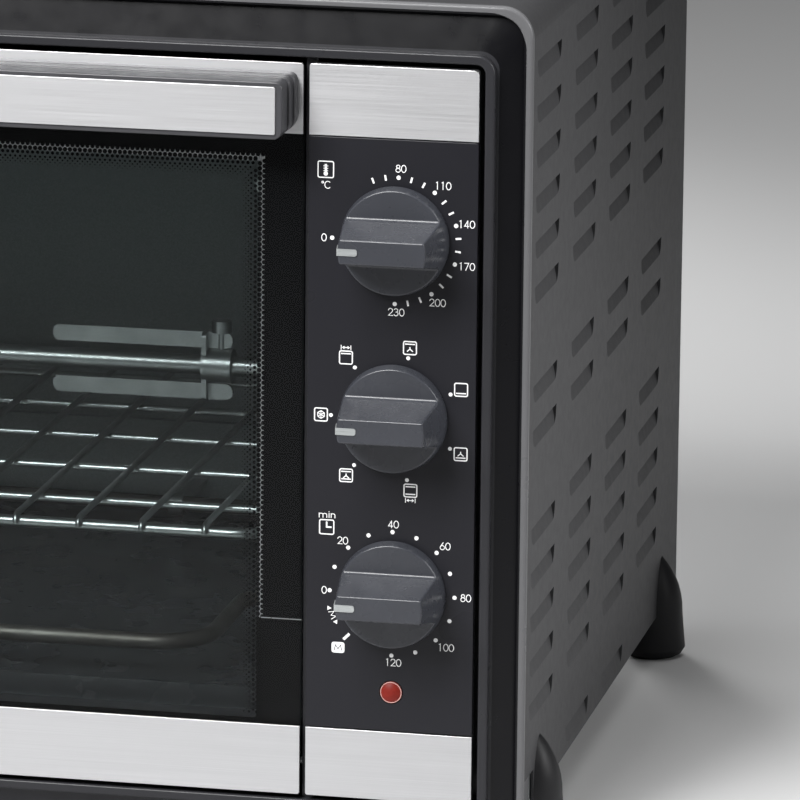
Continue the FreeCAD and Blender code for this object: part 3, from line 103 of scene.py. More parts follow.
# %% Floor and lamps
def flat_piece(name, corners, faces):
    mesh = bpy.data.meshes.new(name)
    mesh.from_pydata(corners, [], faces)
    mesh.update()
    piece = bpy.data.objects.new(name, mesh)
    bpy.context.collection.objects.link(piece)
    return piece


def paper():
    material = bpy.data.materials.new("studio_paper")
    material.use_nodes = True
    shader = material.node_tree.nodes["Principled BSDF"]
    shader.inputs["Base Color"].default_value = (0.55, 0.55, 0.55, 1)
    shader.inputs["Roughness"].default_value = 0.9
    return material


REACH = 9.0
floor = flat_piece("floor", [(-REACH, -REACH, 0), (REACH, -REACH, 0), (REACH, REACH, 0), (-REACH, REACH, 0)],
                   [(0, 1, 2, 3)])
floor.data.materials.append(paper())


def soft_box(name, place, target, width, height, power, spread=180):
    """A rectangular lamp in metres and watts that faces its target."""
    lamp = bpy.data.lights.new(name, "AREA")
    lamp.shape = "RECTANGLE"
    lamp.size = width
    lamp.size_y = height
    lamp.energy = power
    lamp.spread = math.radians(spread)
    stand = bpy.data.objects.new(name, lamp)
    stand.location = place
    stand.rotation_euler = (Vector(target) - Vector(place)).to_track_quat("-Z", "Y").to_euler()
    stand.visible_camera = False
    bpy.context.collection.objects.link(stand)


soft_box("key_lamp", (-0.6, -1.5, 1.5), (0.1, 0, 0.18), width=1.0, height=0.8, power=17, spread=90)
soft_box("front_lamp", (-0.08, -1.3, 1.95), (0.1, 0, 0.2), width=0.5, height=0.5, power=2.5, spread=60)
soft_box("side_lamp", (0.85, -0.15, 0.45), (0.25, -0.2, 0.17), width=0.2, height=0.5, power=0.6, spread=60)
soft_box("top_lamp", (0.2, 0.4, 2.3), (0.1, 0.1, 0.2), width=1.8, height=1.8, power=18)
soft_box("rear_lamp", (-0.8, 1.6, 0.25), (-0.05, 0.18, 0.17), width=0.8, height=0.25, power=5, spread=60)

world = bpy.data.worlds.new("studio")
bpy.context.scene.world = world
world.use_nodes = True
room = world.node_tree.nodes["Background"]
room.inputs["Color"].default_value = (0.86, 0.87, 0.89, 1)
room.inputs["Strength"].default_value = 0.08
bpy.context.scene.view_settings.view_transform = "Standard"
print("lamps", len(bpy.data.lights))

# %% [markdown]
# ## Tools for finishes
#
# Every finish below is mixed from the same few things: a base colour, a gloss, and a fine unevenness that
# changes one or both and raises the surface a little. The unevenness is noise, measured in millimetres on
# the piece itself, so that it keeps its true scale and stays with the piece when it moves. A picture file
# would do the same job, but it would need unwrapping and would blur when seen close.

# %% Start a finish, and the noise it uses
def start_finish(name, colour, roughness, metallic=0.0):
    material = bpy.data.materials.new(name)
    material.use_nodes = True
    shader = material.node_tree.nodes["Principled BSDF"]
    shader.inputs["Base Color"].default_value = (*colour, 1)
    shader.inputs["Roughness"].default_value = roughness
    shader.inputs["Metallic"].default_value = metallic
    return material, material.node_tree, shader


def blotches(tree, width, depth=None, height=None, detail=3):
    """Noise whose blotches have these sizes in millimetres along X, Y and Z."""
    place = tree.nodes.new("ShaderNodeTexCoord")
    scaled = tree.nodes.new("ShaderNodeMapping")
    sizes = (width, depth or width, height or width)
    scaled.inputs["Scale"].default_value = [1 / (size * MM) for size in sizes]
    noise = tree.nodes.new("ShaderNodeTexNoise")
    noise.inputs["Scale"].default_value = 1
    noise.inputs["Detail"].default_value = detail
    tree.links.new(place.outputs["Object"], scaled.inputs["Vector"])
    tree.links.new(scaled.outputs["Vector"], noise.inputs["Vector"])
    return noise.outputs["Fac"]


def ranged(tree, factor, low, high):
    """The noise's middle values spread over low to high."""
    node = tree.nodes.new("ShaderNodeMapRange")
    node.inputs["From Min"].default_value = 0.3
    node.inputs["From Max"].default_value = 0.7
    node.inputs["To Min"].default_value = low
    node.inputs["To Max"].default_value = high
    tree.links.new(factor, node.inputs["Value"])
    return node.outputs["Result"]


def uneven_gloss(tree, shader, factor, low, high):
    tree.links.new(ranged(tree, factor, low, high), shader.inputs["Roughness"])


def uneven_colour(tree, shader, factor, dark, light):
    blend = tree.nodes.new("ShaderNodeMix")
    blend.data_type = "RGBA"
    blend.inputs["A"].default_value = (*dark, 1)
    blend.inputs["B"].default_value = (*light, 1)
    tree.links.new(ranged(tree, factor, 0, 1), blend.inputs["Factor"])
    tree.links.new(blend.outputs["Result"], shader.inputs["Base Color"])


def relief(tree, shader, factor, height, strength=1.0):
    """Raise the surface by the noise, by this height in millimetres."""
    bump = tree.nodes.new("ShaderNodeBump")
    bump.inputs["Distance"].default_value = height * MM
    bump.inputs["Strength"].default_value = strength
    tree.links.new(factor, bump.inputs["Height"])
    tree.links.new(bump.outputs["Normal"], shader.inputs["Normal"])


def dress(material, *names):
    """Put a finish on carried-over pieces."""
    for name in names:
        piece = nodes[name]
        if not piece.material_slots:
            piece.data.materials.append(None)
        for slot in piece.material_slots:
            slot.material = material
    print(material.name, "on", ", ".join(names))


# %% [markdown]
# ## The painted case
#
# The case is sheet steel, sprayed with a dark metallic paint and baked. Such paint shows two things: tiny
# bright flakes in a dark colour, and a very shallow waviness, like orange peel, that breaks up long
# reflections. The flakes are partly metallic colour noise of a third of a millimetre, and the peel is noise
# of two millimetres that raises the surface by hundredths.

# %% Case paint
case_paint, tree, shader = start_finish("case_paint", (0.052, 0.052, 0.054), 0.5, 0.3)
uneven_colour(tree, shader, blotches(tree, 0.35), (0.042, 0.042, 0.044), (0.064, 0.064, 0.067))
peel = blotches(tree, 2.2)
uneven_gloss(tree, shader, blotches(tree, 4), 0.48, 0.53)
shader.inputs["Specular IOR Level"].default_value = 0.3
relief(tree, shader, peel, 0.03, 0.5)
dress(case_paint, "case_wrap")

# %% [markdown]
# ## Zinc-coated sheet behind and below
#
# The rear panel, the base pan and the fan's can are not painted. Their zinc shows large flat crystals, the
# spangle, each with its own tone. A cell pattern gives every crystal one random grey and one gloss.

# %% Galvanised sheet
galvanised, tree, shader = start_finish("galvanised_sheet", (0.5, 0.51, 0.52), 0.42, 1.0)
place = tree.nodes.new("ShaderNodeTexCoord")
spangle = tree.nodes.new("ShaderNodeTexVoronoi")
spangle.inputs["Scale"].default_value = 1 / (9 * MM)
tree.links.new(place.outputs["Object"], spangle.inputs["Vector"])
crystal = tree.nodes.new("ShaderNodeSeparateColor")
tree.links.new(spangle.outputs["Color"], crystal.inputs["Color"])
uneven_colour(tree, shader, crystal.outputs["Red"], (0.42, 0.43, 0.44), (0.6, 0.61, 0.62))
uneven_gloss(tree, shader, crystal.outputs["Green"], 0.35, 0.5)
dress(galvanised, "rear_panel", "base_pan", "fan_housing")

# %% [markdown]
# ## Moulded plastic
#
# The front frame, the handle, the knobs and the feet are moulded. The tool for such parts is etched with a
# fine grain, so the plastic is never a mirror: its highlights are soft and slightly sandy. One helper makes
# them all. What changes is the colour, the gloss and how coarse the grain is. The front frame's colour has
# three bands: a raised lip round the door and panel, painted lighter as a painted highlight; a blacker slope
# that leads out from it, in the plastic's own black; and an outer edge painted light grey as painted side
# light. Two boxes with rounded corners, in millimetres, part one band from the next.

# %% Plastic parts
def grained_plastic(name, colour, gloss, grain_size, shine=0.5, grain_height=0.012):
    """Plastic from an etched mould, its grain in millimetres. A lower gloss value is a smoother face."""
    material, tree, shader = start_finish(name, colour, gloss)
    shader.inputs["Specular IOR Level"].default_value = shine
    lighter = tuple(1.2 * value for value in colour)
    uneven_colour(tree, shader, blotches(tree, 25), colour, lighter)
    uneven_gloss(tree, shader, blotches(tree, 8), gloss - 0.03, gloss + 0.04)
    relief(tree, shader, blotches(tree, grain_size, detail=2), grain_height, 0.6)
    return material


def beyond(tree, half_width, top, corner):
    """One beyond an upright box with rounded upper corners, nought inside it, in millimetres."""
    def reckon(operation, value, limit):
        node = tree.nodes.new("ShaderNodeMath")
        node.operation = operation
        node.inputs[1].default_value = limit * MM
        tree.links.new(value, node.inputs[0])
        return node.outputs["Value"]

    place = tree.nodes.new("ShaderNodeTexCoord")
    apart = tree.nodes.new("ShaderNodeSeparateXYZ")
    tree.links.new(place.outputs["Object"], apart.inputs["Vector"])
    across = reckon("ABSOLUTE", apart.outputs["X"], 0)
    together = tree.nodes.new("ShaderNodeCombineXYZ")
    for value, limit, socket in ((across, half_width, "X"), (apart.outputs["Z"], top, "Z")):
        past = reckon("MAXIMUM", reckon("SUBTRACT", value, limit - corner), 0)
        tree.links.new(past, together.inputs[socket])
    length = tree.nodes.new("ShaderNodeVectorMath")
    length.operation = "LENGTH"
    tree.links.new(together.outputs["Vector"], length.inputs[0])
    return reckon("GREATER_THAN", length.outputs["Value"], corner)


# Painted light on the front frame: the lip tone is a painted highlight and the outer edge tone is painted
# side light. The slope tone is the plastic's own black.
LIP_PAINTED_HIGHLIGHT = (0.024, 0.024, 0.027)
SLOPE_BLACK = (0.004, 0.004, 0.005)
EDGE_PAINTED_SIDE_LIGHT = (0.11, 0.11, 0.114)
LIP_BOX = (245.0, 312.0, 7.2)
SLOPE_BOX = (255.0, 326.5, 14.0)


def frame_with_painted_light():
    """Black plastic with a painted highlight on its raised lip and painted side light on its outer edge, both
    lighter than the slope between them.
    """
    material = grained_plastic("frame_plastic", SLOPE_BLACK, gloss=0.3, grain_size=0.5, shine=0.22)
    tree = material.node_tree
    shader = tree.nodes["Principled BSDF"]
    colour = tree.nodes.new("ShaderNodeRGB").outputs["Color"]
    colour.default_value = (*LIP_PAINTED_HIGHLIGHT, 1)
    # Beyond the lip box the colour drops from the painted lip highlight to the slope black. Beyond the slope
    # box the painted side light of the outer edge takes over.
    for tone, box in ((SLOPE_BLACK, LIP_BOX), (EDGE_PAINTED_SIDE_LIGHT, SLOPE_BOX)):
        blend = tree.nodes.new("ShaderNodeMix")
        blend.data_type = "RGBA"
        tree.links.new(beyond(tree, *box), blend.inputs["Factor"])
        tree.links.new(colour, blend.inputs["A"])
        blend.inputs["B"].default_value = (*tone, 1)
        colour = blend.outputs["Result"]
    tree.links.new(colour, shader.inputs["Base Color"])
    return material


frame_plastic = frame_with_painted_light()
handle_plastic = grained_plastic("handle_plastic", (0.04, 0.04, 0.044), gloss=0.34, grain_size=0.5)
knob_plastic = grained_plastic("knob_plastic", (0.034, 0.036, 0.043), gloss=0.27, grain_size=0.3,
                               shine=0.45, grain_height=0.005)
foot_plastic = grained_plastic("foot_plastic", (0.012, 0.012, 0.013), gloss=0.45, grain_size=0.8, shine=0.2)
carrier_plastic = grained_plastic("carrier_plastic", (0.03, 0.03, 0.032), gloss=0.5, grain_size=0.8)
control_plastic = grained_plastic("control_plastic", (0.35, 0.33, 0.28), gloss=0.5, grain_size=0.6)
dress(frame_plastic, "front_frame")
dress(handle_plastic, "handle_body")
dress(knob_plastic, "temperature_knob", "function_knob", "timer_knob")
dress(foot_plastic, "feet", "rear_spacers", "cord_gland")
dress(carrier_plastic, "panel_carrier")
dress(control_plastic, "thermostat_body", "selector_body", "timer_body", "power_lamp_body", "terminal_block")

rubber, tree, shader = start_finish("pad_rubber", (0.012, 0.012, 0.012), 0.85)
relief(tree, shader, blotches(tree, 0.6), 0.04)
dress(rubber, "foot_pads")

# %% [markdown]
# ## The panel behind the dials
#
# The control panel is a painted plate, almost black with a breath of blue, and smoother than the plastic
# round it. A slow change of gloss over some centimetres keeps it from looking like a flat cut-out.

# %% Panel plate
panel_plate, tree, shader = start_finish("panel_plate", (0.013, 0.013, 0.016), 0.3)
uneven_gloss(tree, shader, blotches(tree, 60), 0.27, 0.36)
uneven_colour(tree, shader, blotches(tree, 0.4), (0.0115, 0.0115, 0.0145), (0.0145, 0.0145, 0.018))
relief(tree, shader, blotches(tree, 0.9), 0.01, 0.5)
shader.inputs["Specular IOR Level"].default_value = 0.22
dress(panel_plate, "control_panel")

# %% [markdown]
# ## Brushed steel
#
# The strips above and below the panel and the door, and the plate on the handle, are thin stainless steel,
# drawn under a belt of abrasive along their length. The scratches are long in X and very fine across it.
# They are noise stretched some hundred times, used for gloss, tone and a height of a few microns. Scratches
# spread a highlight across their own direction. The shader's anisotropy does so too, and the rotation by a
# quarter turn makes that direction upright, so the lamps show as soft vertical streaks.

# %% Strips and handle plate
brushed, tree, shader = start_finish("brushed_strip", (0.55, 0.55, 0.56), 0.36, 1.0)
scratches = blotches(tree, 60, 0.12, 0.12, detail=4)
uneven_colour(tree, shader, scratches, (0.52, 0.52, 0.53), (0.58, 0.58, 0.59))
uneven_gloss(tree, shader, scratches, 0.33, 0.4)
relief(tree, shader, scratches, 0.002, 0.3)
shader.inputs["Anisotropic"].default_value = 0.65
shader.inputs["Anisotropic Rotation"].default_value = 0.25
along = tree.nodes.new("ShaderNodeTangent")
along.direction_type = "RADIAL"
along.axis = "Z"
tree.links.new(along.outputs["Tangent"], shader.inputs["Tangent"])
dress(brushed, "panel_top_strip", "panel_bottom_strip", "door_top_strip", "door_bottom_strip",
      "handle_plate")

# %% [markdown]
# ## Bare, bright and heated metal
#
# The rack, the spit with its forks, the bulb and the small clips are nickel-plated wire and sheet. The
# heating tubes started out like that, and the heat has turned them a dull grey-brown with darker clouds.
# Shafts, screws and motor irons are turned or pressed steel with faint tool marks.

# %% Metal pieces
def metal(name, dark, light, smooth, rough, cloud, mark=0.006):
    """Bare metal, clouded between two tones and two degrees of gloss, with marks of this height in mm."""
    material, tree, shader = start_finish(name, light, smooth, 1.0)
    uneven_colour(tree, shader, blotches(tree, cloud), dark, light)
    uneven_gloss(tree, shader, blotches(tree, cloud / 4), smooth, rough)
    relief(tree, shader, blotches(tree, 0.5), mark, 0.5)
    return material


bright_wire = metal("bright_wire", (0.42, 0.42, 0.42), (0.54, 0.54, 0.53), 0.3, 0.4, 12, 0.003)
heater_tube = metal("heater_tube", (0.12, 0.1, 0.09), (0.24, 0.22, 0.2), 0.45, 0.6, 18, 0.02)
motor_steel = metal("motor_steel", (0.22, 0.22, 0.23), (0.34, 0.34, 0.35), 0.4, 0.55, 6)
machined_steel = metal("machined_steel", (0.5, 0.5, 0.51), (0.62, 0.62, 0.63), 0.2, 0.34, 3)
screw_steel = metal("screw_steel", (0.42, 0.42, 0.43), (0.56, 0.56, 0.57), 0.3, 0.45, 2)
fan_alloy = metal("fan_alloy", (0.55, 0.56, 0.57), (0.68, 0.69, 0.7), 0.35, 0.5, 8)
dress(bright_wire, "wire_rack", "spit_rod", "spit_forks", "fork_screws", "thermostat_bulb", "heater_clips",
      "bulb_clips", "spit_rest", "glass_clips")
dress(heater_tube, "top_heater", "bottom_heater")
dress(motor_steel, "fan_motor", "spit_motor")
dress(machined_steel, "thermostat_shaft", "selector_shaft", "timer_shaft", "fan_shaft", "drive_socket",
      "hinge_pins")
dress(screw_steel, "rear_screws")
dress(fan_alloy, "fan_blade")

# %% [markdown]
# ## Enamel and dark linings
#
# The cooking space is lined with grey enamel, a glass fused onto steel, speckled so that stains show less.
# The door frame and the plate behind the front frame are sheet with a thin dark coat.

# %% Linings
def enamel(name, colour, speck, gloss):
    """Fused or baked coat with fine specks of a second tone."""
    material, tree, shader = start_finish(name, colour, gloss)
    uneven_colour(tree, shader, blotches(tree, 0.7, detail=1), colour, speck)
    uneven_gloss(tree, shader, blotches(tree, 14), gloss - 0.05, gloss + 0.06)
    relief(tree, shader, blotches(tree, 3), 0.03, 0.5)
    return material


oven_lining = enamel("oven_lining", (0.42, 0.43, 0.435), (0.52, 0.53, 0.535), 0.42)
tray_enamel = enamel("tray_enamel", (0.025, 0.025, 0.027), (0.06, 0.06, 0.065), 0.25)
inner_front_sheet = enamel("inner_front_sheet", (0.03, 0.03, 0.032), (0.04, 0.04, 0.043), 0.4)
door_metal = enamel("door_metal", (0.02, 0.02, 0.022), (0.028, 0.028, 0.03), 0.38)
dress(oven_lining, "cavity_floor", "cavity_roof", "cavity_left_wall", "cavity_right_wall",
      "cavity_back_wall")
dress(tray_enamel, "crumb_tray")
dress(inner_front_sheet, "front_plate")
dress(door_metal, "door_frame")

# %% [markdown]
# ## Smoked glass
#
# The door has two panes. The outer one is smoked: it passes part of the light and mirrors the room in
# its polished face. Glass can be made with refraction, which bends what is behind it, but a flat pane hardly
# bends anything and refraction would leave the oven's inside dark and noisy. Here a see-through shader
# carries the tint, a mirror shader carries the shine, and the Fresnel node sets how much of each is seen:
# little mirror when looked at straight on, more at a slant. Both faces of each pane mirror, so the node's
# index is lower than that of glass, or the shine would count twice. Faint smears blur the mirror.

# %% Panes
def pane(name, tint, smear, bending, gleam):
    """See-through glass: its tint, the blur of its smears, its index and the share that it mirrors."""
    material = bpy.data.materials.new(name)
    material.use_nodes = True
    tree = material.node_tree
    tree.nodes.remove(tree.nodes["Principled BSDF"])
    clear = tree.nodes.new("ShaderNodeBsdfTransparent")
    clear.inputs["Color"].default_value = (*tint, 1)
    shine = tree.nodes.new("ShaderNodeBsdfGlossy")
    shine.inputs["Color"].default_value = (gleam, gleam, gleam, 1)
    slant = tree.nodes.new("ShaderNodeFresnel")
    slant.inputs["IOR"].default_value = bending
    both = tree.nodes.new("ShaderNodeMixShader")
    tree.links.new(slant.outputs["Fac"], both.inputs["Fac"])
    tree.links.new(clear.outputs["BSDF"], both.inputs[1])
    tree.links.new(shine.outputs["BSDF"], both.inputs[2])
    tree.links.new(both.outputs["Shader"], tree.nodes["Material Output"].inputs["Surface"])
    tree.links.new(ranged(tree, blotches(tree, 45), 0.02, smear), shine.inputs["Roughness"])
    return material


dress(pane("outer_pane", (0.86, 0.88, 0.89), smear=0.07, bending=1.28, gleam=0.5), "outer_glass")
dress(pane("inner_pane", (0.93, 0.95, 0.94), smear=0.04, bending=1.12, gleam=0.8), "inner_glass")

# %% [markdown]
# ## The lamp and the pointers
#
# The pilot lamp has a deep red lens of clouded plastic, off here, so it only shows its own colour. A thin
# pale collar round it catches the light. The pointers are thin bright inserts in the knobs' grips.

# %% Lens and inserts
lens, tree, shader = start_finish("lamp_red", (0.2, 0.012, 0.006), 0.5)
uneven_colour(tree, shader, blotches(tree, 1.5), (0.17, 0.01, 0.005), (0.22, 0.015, 0.008))
shader.inputs["Specular IOR Level"].default_value = 0.25
relief(tree, shader, blotches(tree, 1.2), 0.02, 0.4)
dress(lens, "power_lamp_lens")


def bead(name, middle, radius, thickness, sides=48, around=8):
    """A thin round ring that faces the front, its sizes in millimetres."""
    corners = []
    for i in range(sides):
        turn = 2 * math.pi * i / sides
        for j in range(around):
            lean = 2 * math.pi * j / around
            out = radius + thickness / 2 * math.cos(lean)
            place = (out * math.cos(turn), thickness / 2 * math.sin(lean), out * math.sin(turn))
            corners.append([a + b * MM for a, b in zip(middle, place)])
    faces = []
    for i in range(sides):
        here, there = i * around, (i + 1) % sides * around
        faces += [(here + j, there + j, there + (j + 1) % around, here + (j + 1) % around)
                  for j in range(around)]
    ring = flat_piece(name, corners, faces)
    for face in ring.data.polygons:
        face.use_smooth = True
    return ring


lens_low, lens_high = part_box("power_lamp_lens")
lens_middle = ((lens_low[0] + lens_high[0]) / 2, panel_y - 0.2 * MM, (lens_low[2] + lens_high[2]) / 2)
collar = bead("lens_collar", lens_middle, radius=3.95, thickness=0.45)
collar_plastic, tree, shader = start_finish("lens_collar", (0.55, 0.3, 0.27), 0.3)
uneven_gloss(tree, shader, blotches(tree, 1), 0.25, 0.35)
collar.data.materials.append(collar_plastic)
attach(collar, "oven")

silver, tree, shader = start_finish("pointer_silver", (0.42, 0.44, 0.44), 0.32, 0.5)
fine = blotches(tree, 8, 0.2, 0.2)
uneven_colour(tree, shader, fine, (0.37, 0.39, 0.39), (0.47, 0.49, 0.49))
uneven_gloss(tree, shader, fine, 0.26, 0.36)
dress(silver, "temperature_pointer", "function_pointer", "timer_pointer")

# %% [markdown]
# ## A pen for the printed dials
#
# The white marks round the knobs are screen-printed ink, a few hundredths of a millimetre thick. They could
# be text, but the photograph's numerals have plain geometric forms with one thickness of line, which a pen
# draws better than a ready typeface. The pen here turns a list of points into a flat ribbon: at each point
# it steps half the line's width to either side, along the corner's bisector. Points are millimetres to the
# right and up from a dial's middle, and the ribbon lies just in front of the panel.

# %% The pen
LINE = 0.31


def ribbon(points, width=LINE, closed=False):
    """Corner points and faces of a flat line through these points."""
    count = len(points)
    corners = []
    for i, (x, z) in enumerate(points):
        before = points[i - 1] if closed or i > 0 else None
        after = points[(i + 1) % count] if closed or i < count - 1 else None
        ways = []
        if before:
            ways.append((Vector((x, z)) - Vector(before)).normalized())
        if after:
            ways.append((Vector(after) - Vector((x, z))).normalized())
        way = (ways[0] + ways[-1]).normalized()
        across = Vector((-way.y, way.x)) * width / 2
        lean = max(0.5, way.dot(ways[0]))
        here = Vector((x, z))
        if not before:
            here -= way * width / 2
        if not after:
            here += way * width / 2
        corners += [here + across / lean, here - across / lean]
    steps = count if closed else count - 1
    faces = [(2 * i, 2 * i + 1, (2 * i + 3) % (2 * count), (2 * i + 2) % (2 * count))
             for i in range(steps)]
    return [tuple(corner) for corner in corners], faces


def bow(x, z, radius, start, end, rise=None, step=15):
    """Points along an arc or an oval, from one angle to another in degrees."""
    parts = max(3, int(abs(end - start) / step))
    angles = [math.radians(start + (end - start) * i / parts) for i in range(parts + 1)]
    return [(x + radius * math.cos(a), z + (rise or radius) * math.sin(a)) for a in angles]


def filled(path):
    """Corner points and one face for the inside of a closed path."""
    return path, [tuple(range(len(path)))]


def spot(x, z, radius, sides=20):
    """A filled round dot."""
    return filled(bow(x, z, radius, 0, 360 - 360 / sides, step=360 / sides))


def rounded_box(width, height, corner):
    w, h = width / 2 - corner, height / 2 - corner
    path = []
    for x, z, start in ((w, h, 0), (-w, h, 90), (-w, -h, 180), (w, -h, 270)):
        path += bow(x, z, corner, start, start + 90, step=30)
    return path


class Sheet:
    """Collects flat marks, then prints them as one piece. Marks that overlap lie at different depths."""

    def __init__(self):
        self.corners = []
        self.faces = []
        self.marks = 0

    def add(self, drawn, x=0.0, z=0.0, size=1.0, turn=0.0):
        corners, faces = drawn
        first = len(self.corners)
        c, s = math.cos(math.radians(turn)), math.sin(math.radians(turn))
        depth = 0.01 * (self.marks % 4)
        self.marks += 1
        for u, v in corners:
            self.corners.append((x + size * (u * c - v * s), depth, z + size * (u * s + v * c)))
        self.faces += [tuple(first + i for i in face) for face in faces]

    def print_on(self, name, middle_x, middle_z, y, material, body):
        corners = [(middle_x + u * MM, y - w * MM, middle_z + v * MM) for u, w, v in self.corners]
        piece = flat_piece(name, corners, self.faces)
        piece.data.materials.append(material)
        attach(piece, body)
        print(name, len(self.faces), "faces")


# %% [markdown]
# ## Numerals and signs
#
# Each numeral is drawn in a frame one unit high: a nought is an oval, an eight is two rings, a four is three
# straight strokes. The signs are the ones that ovens of any make share: a thermometer, a clock, a snowflake
# for thawing, and small ovens with a bar above or below for the heating tubes and a propeller for the fan.

# %% Strokes of the numerals
numerals = {
    "0": (0.72, [bow(0.36, 0.5, 0.3, 0, 345, 0.46)]),
    "1": (0.72, [[(0.22, 0.88), (0.36, 0.96), (0.36, 0.05)]]),
    "2": (0.72, [bow(0.35, 0.7, 0.27, 170, -35, 0.26) + [(0.1, 0.06), (0.64, 0.06)]]),
    "3": (0.72, [bow(0.33, 0.74, 0.23, 150, -80, 0.22), bow(0.33, 0.29, 0.28, 85, -150, 0.25)]),
    "4": (0.74, [[(0.5, 0.05), (0.5, 0.94)], [(0.5, 0.94), (0.1, 0.27), (0.64, 0.27)]]),
    "6": (0.72, [bow(0.36, 0.31, 0.28, 0, 345, 0.27), [(0.12, 0.43), (0.46, 0.95)]]),
    "7": (0.72, [[(0.1, 0.94), (0.6, 0.94), (0.24, 0.05)]]),
    "8": (0.72, [bow(0.36, 0.75, 0.21, 0, 345, 0.2), bow(0.36, 0.29, 0.28, 0, 345, 0.25)]),
    "C": (0.8, [bow(0.45, 0.5, 0.4, 50, 310, 0.46)]),
    "o": (0.4, [bow(0.18, 0.82, 0.12, 0, 330)]),
    "m": (1.3, [[(0.08, 0.06), (0.08, 0.62)], bow(0.34, 0.44, 0.26, 180, 0, 0.17) + [(0.6, 0.06)],
                bow(0.86, 0.44, 0.26, 180, 0, 0.17) + [(1.12, 0.06)]]),
    "i": (0.34, [[(0.13, 0.06), (0.13, 0.62)], [(0.13, 0.84), (0.13, 0.87)]]),
    "n": (0.74, [[(0.08, 0.06), (0.08, 0.62)], bow(0.34, 0.44, 0.26, 180, 0, 0.17) + [(0.6, 0.06)]]),
    "M": (1.4, [[(0.05, 0.05), (0.25, 0.95), (0.7, 0.25), (1.15, 0.95), (1.35, 0.05)]]),
}
RINGS = {"0", "6", "8", "o"}


def write(sheet, words, x, z, height, line=LINE, turn=0.0):
    """Write these characters with their middle at x, z."""
    full = sum(numerals[c][0] for c in words)
    c0, s0 = math.cos(math.radians(turn)), math.sin(math.radians(turn))
    along = -full / 2
    for character in words:
        wide, strokes = numerals[character]
        left, low = along * height, -height / 2
        at = (x + left * c0 - low * s0, z + left * s0 + low * c0)
        for i, stroke in enumerate(strokes):
            ring = character in RINGS and len(stroke) > 10
            drawn = ribbon(stroke, line / height, closed=ring)
            sheet.add(drawn, at[0], at[1], height, turn)
        along += wide


# %% Signs of the functions
BOX = 4.9
BAR = 3.35
SIGN_LINE = 0.45


def oven_sign(sheet, x, z, top=False, bottom=False, fan=False, spit=0):
    """A small oven: bars for the heating tubes, a propeller for the fan, arrows for the spit."""
    sheet.add(ribbon(rounded_box(BOX, BOX, 0.6), SIGN_LINE, closed=True), x, z)
    if top:
        sheet.add(ribbon([(-BAR / 2, 1.46), (BAR / 2, 1.46)], SIGN_LINE), x, z)
    if bottom:
        sheet.add(ribbon([(-BAR / 2, -1.41), (BAR / 2, -1.41)], SIGN_LINE), x, z)
    if fan:
        middle = -0.1 - 0.3 * top + 0.3 * bottom
        for angle, reach in ((90, 0.6), (220, 1.3), (320, 1.3)):
            tip = bow(0, middle, reach, angle, angle + 1)[0]
            sheet.add(ribbon([(0, middle), tip], 0.4), x, z)
    if spit:
        level = z + spit * 3.8
        for side in (-1, 1):
            sheet.add(ribbon([(side * 1.85, -0.75), (side * 1.85, 0.75)], 0.3), x, level)
            sheet.add(filled([(side * 1.55, 0), (side * 0.6, 0.65), (side * 0.6, -0.65)]), x, level)
            sheet.add(ribbon([(side * 0.55, 0), (0, 0)], 0.35), x, level)


def snow_sign(sheet, x, z):
    sheet.add(ribbon(rounded_box(BOX, BOX, 0.6), SIGN_LINE, closed=True), x, z)
    flake = bow(0, 0, 1.45, 30, 330, step=60)
    sheet.add(ribbon(flake, 0.35, closed=True), x, z)
    for corner in flake:
        sheet.add(ribbon([(0, 0), corner], 0.3), x, z)


def thermometer_sign(sheet, x, z):
    sheet.add(ribbon(rounded_box(5.9, 6.1, 0.6), 0.44, closed=True), x, z)
    sheet.add(ribbon([(0, -1.6), (0, 1.6)], 0.9), x, z)
    sheet.add(spot(0, -1.55, 0.85), x, z)
    for level in (-0.5, 0.4, 1.3):
        sheet.add(ribbon([(-0.75, level), (0.75, level)], 0.3), x, z)


def clock_sign(sheet, x, z):
    sheet.add(ribbon(rounded_box(5.45, 5.5, 0.6), 0.46, closed=True), x, z)
    sheet.add(ribbon([(0, 1.8), (0, 0), (1.6, 0)], 0.6), x, z)


# %% [markdown]
# ## Print on the panel
#
# A dial's marks stand on a circle of 24 mm round the knob. Temperature rises clockwise: noughts at nine
# o'clock, eighty degrees near the top and 230 at the bottom, with a dot at each number and a tick every ten
# degrees between. The timer has a dot every ten minutes. The seven functions are a seventh of a turn apart.

# %% Print the dials
MARK = 24.0
NUMBER = 2.95
DOT = 0.82
panel_ink, tree, shader = start_finish("panel_ink", (0.84, 0.84, 0.84), 0.5)
ink_grain = blotches(tree, 0.5)
uneven_colour(tree, shader, ink_grain, (0.8, 0.8, 0.8), (0.88, 0.88, 0.88))
relief(tree, shader, ink_grain, 0.01, 0.4)
sheet = Sheet()
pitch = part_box("temperature_knob")[0][2] / MM - knob_low[2] / MM


def ring_place(angle, radius=MARK):
    return radius * math.cos(math.radians(angle)), radius * math.sin(math.radians(angle))


def tick(angle, middle_z):
    x, z = ring_place(angle)
    sheet.add(ribbon([(-0.72, 0), (0.72, 0)], 0.75), x, z + middle_z, turn=angle)


for degrees in range(60, 231, 10):
    angle = 87.5 - 11.83 * (degrees - 80) / 10
    if (degrees - 80) % 30 == 0:
        x, z = ring_place(angle)
        sheet.add(spot(x, z, DOT), 0, pitch)
    else:
        tick(angle, pitch)
sheet.add(spot(-MARK, 0, DOT), 0, pitch)
for words, x, z in (("0", -27.1, 0), ("80", 1.9, 27.4), ("110", 17.9, 21.7), ("140", 27.0, 7.6),
                    ("170", 27.2, -8.4), ("200", 16.3, -22.7), ("230", 0.6, -27.1)):
    write(sheet, words, x, z + pitch, NUMBER)
thermometer_sign(sheet, -26.6, 25.8 + pitch)
write(sheet, "oC", -26.5, 20.0 + pitch, 2.9, 0.3)
print("temperature dial drawn")

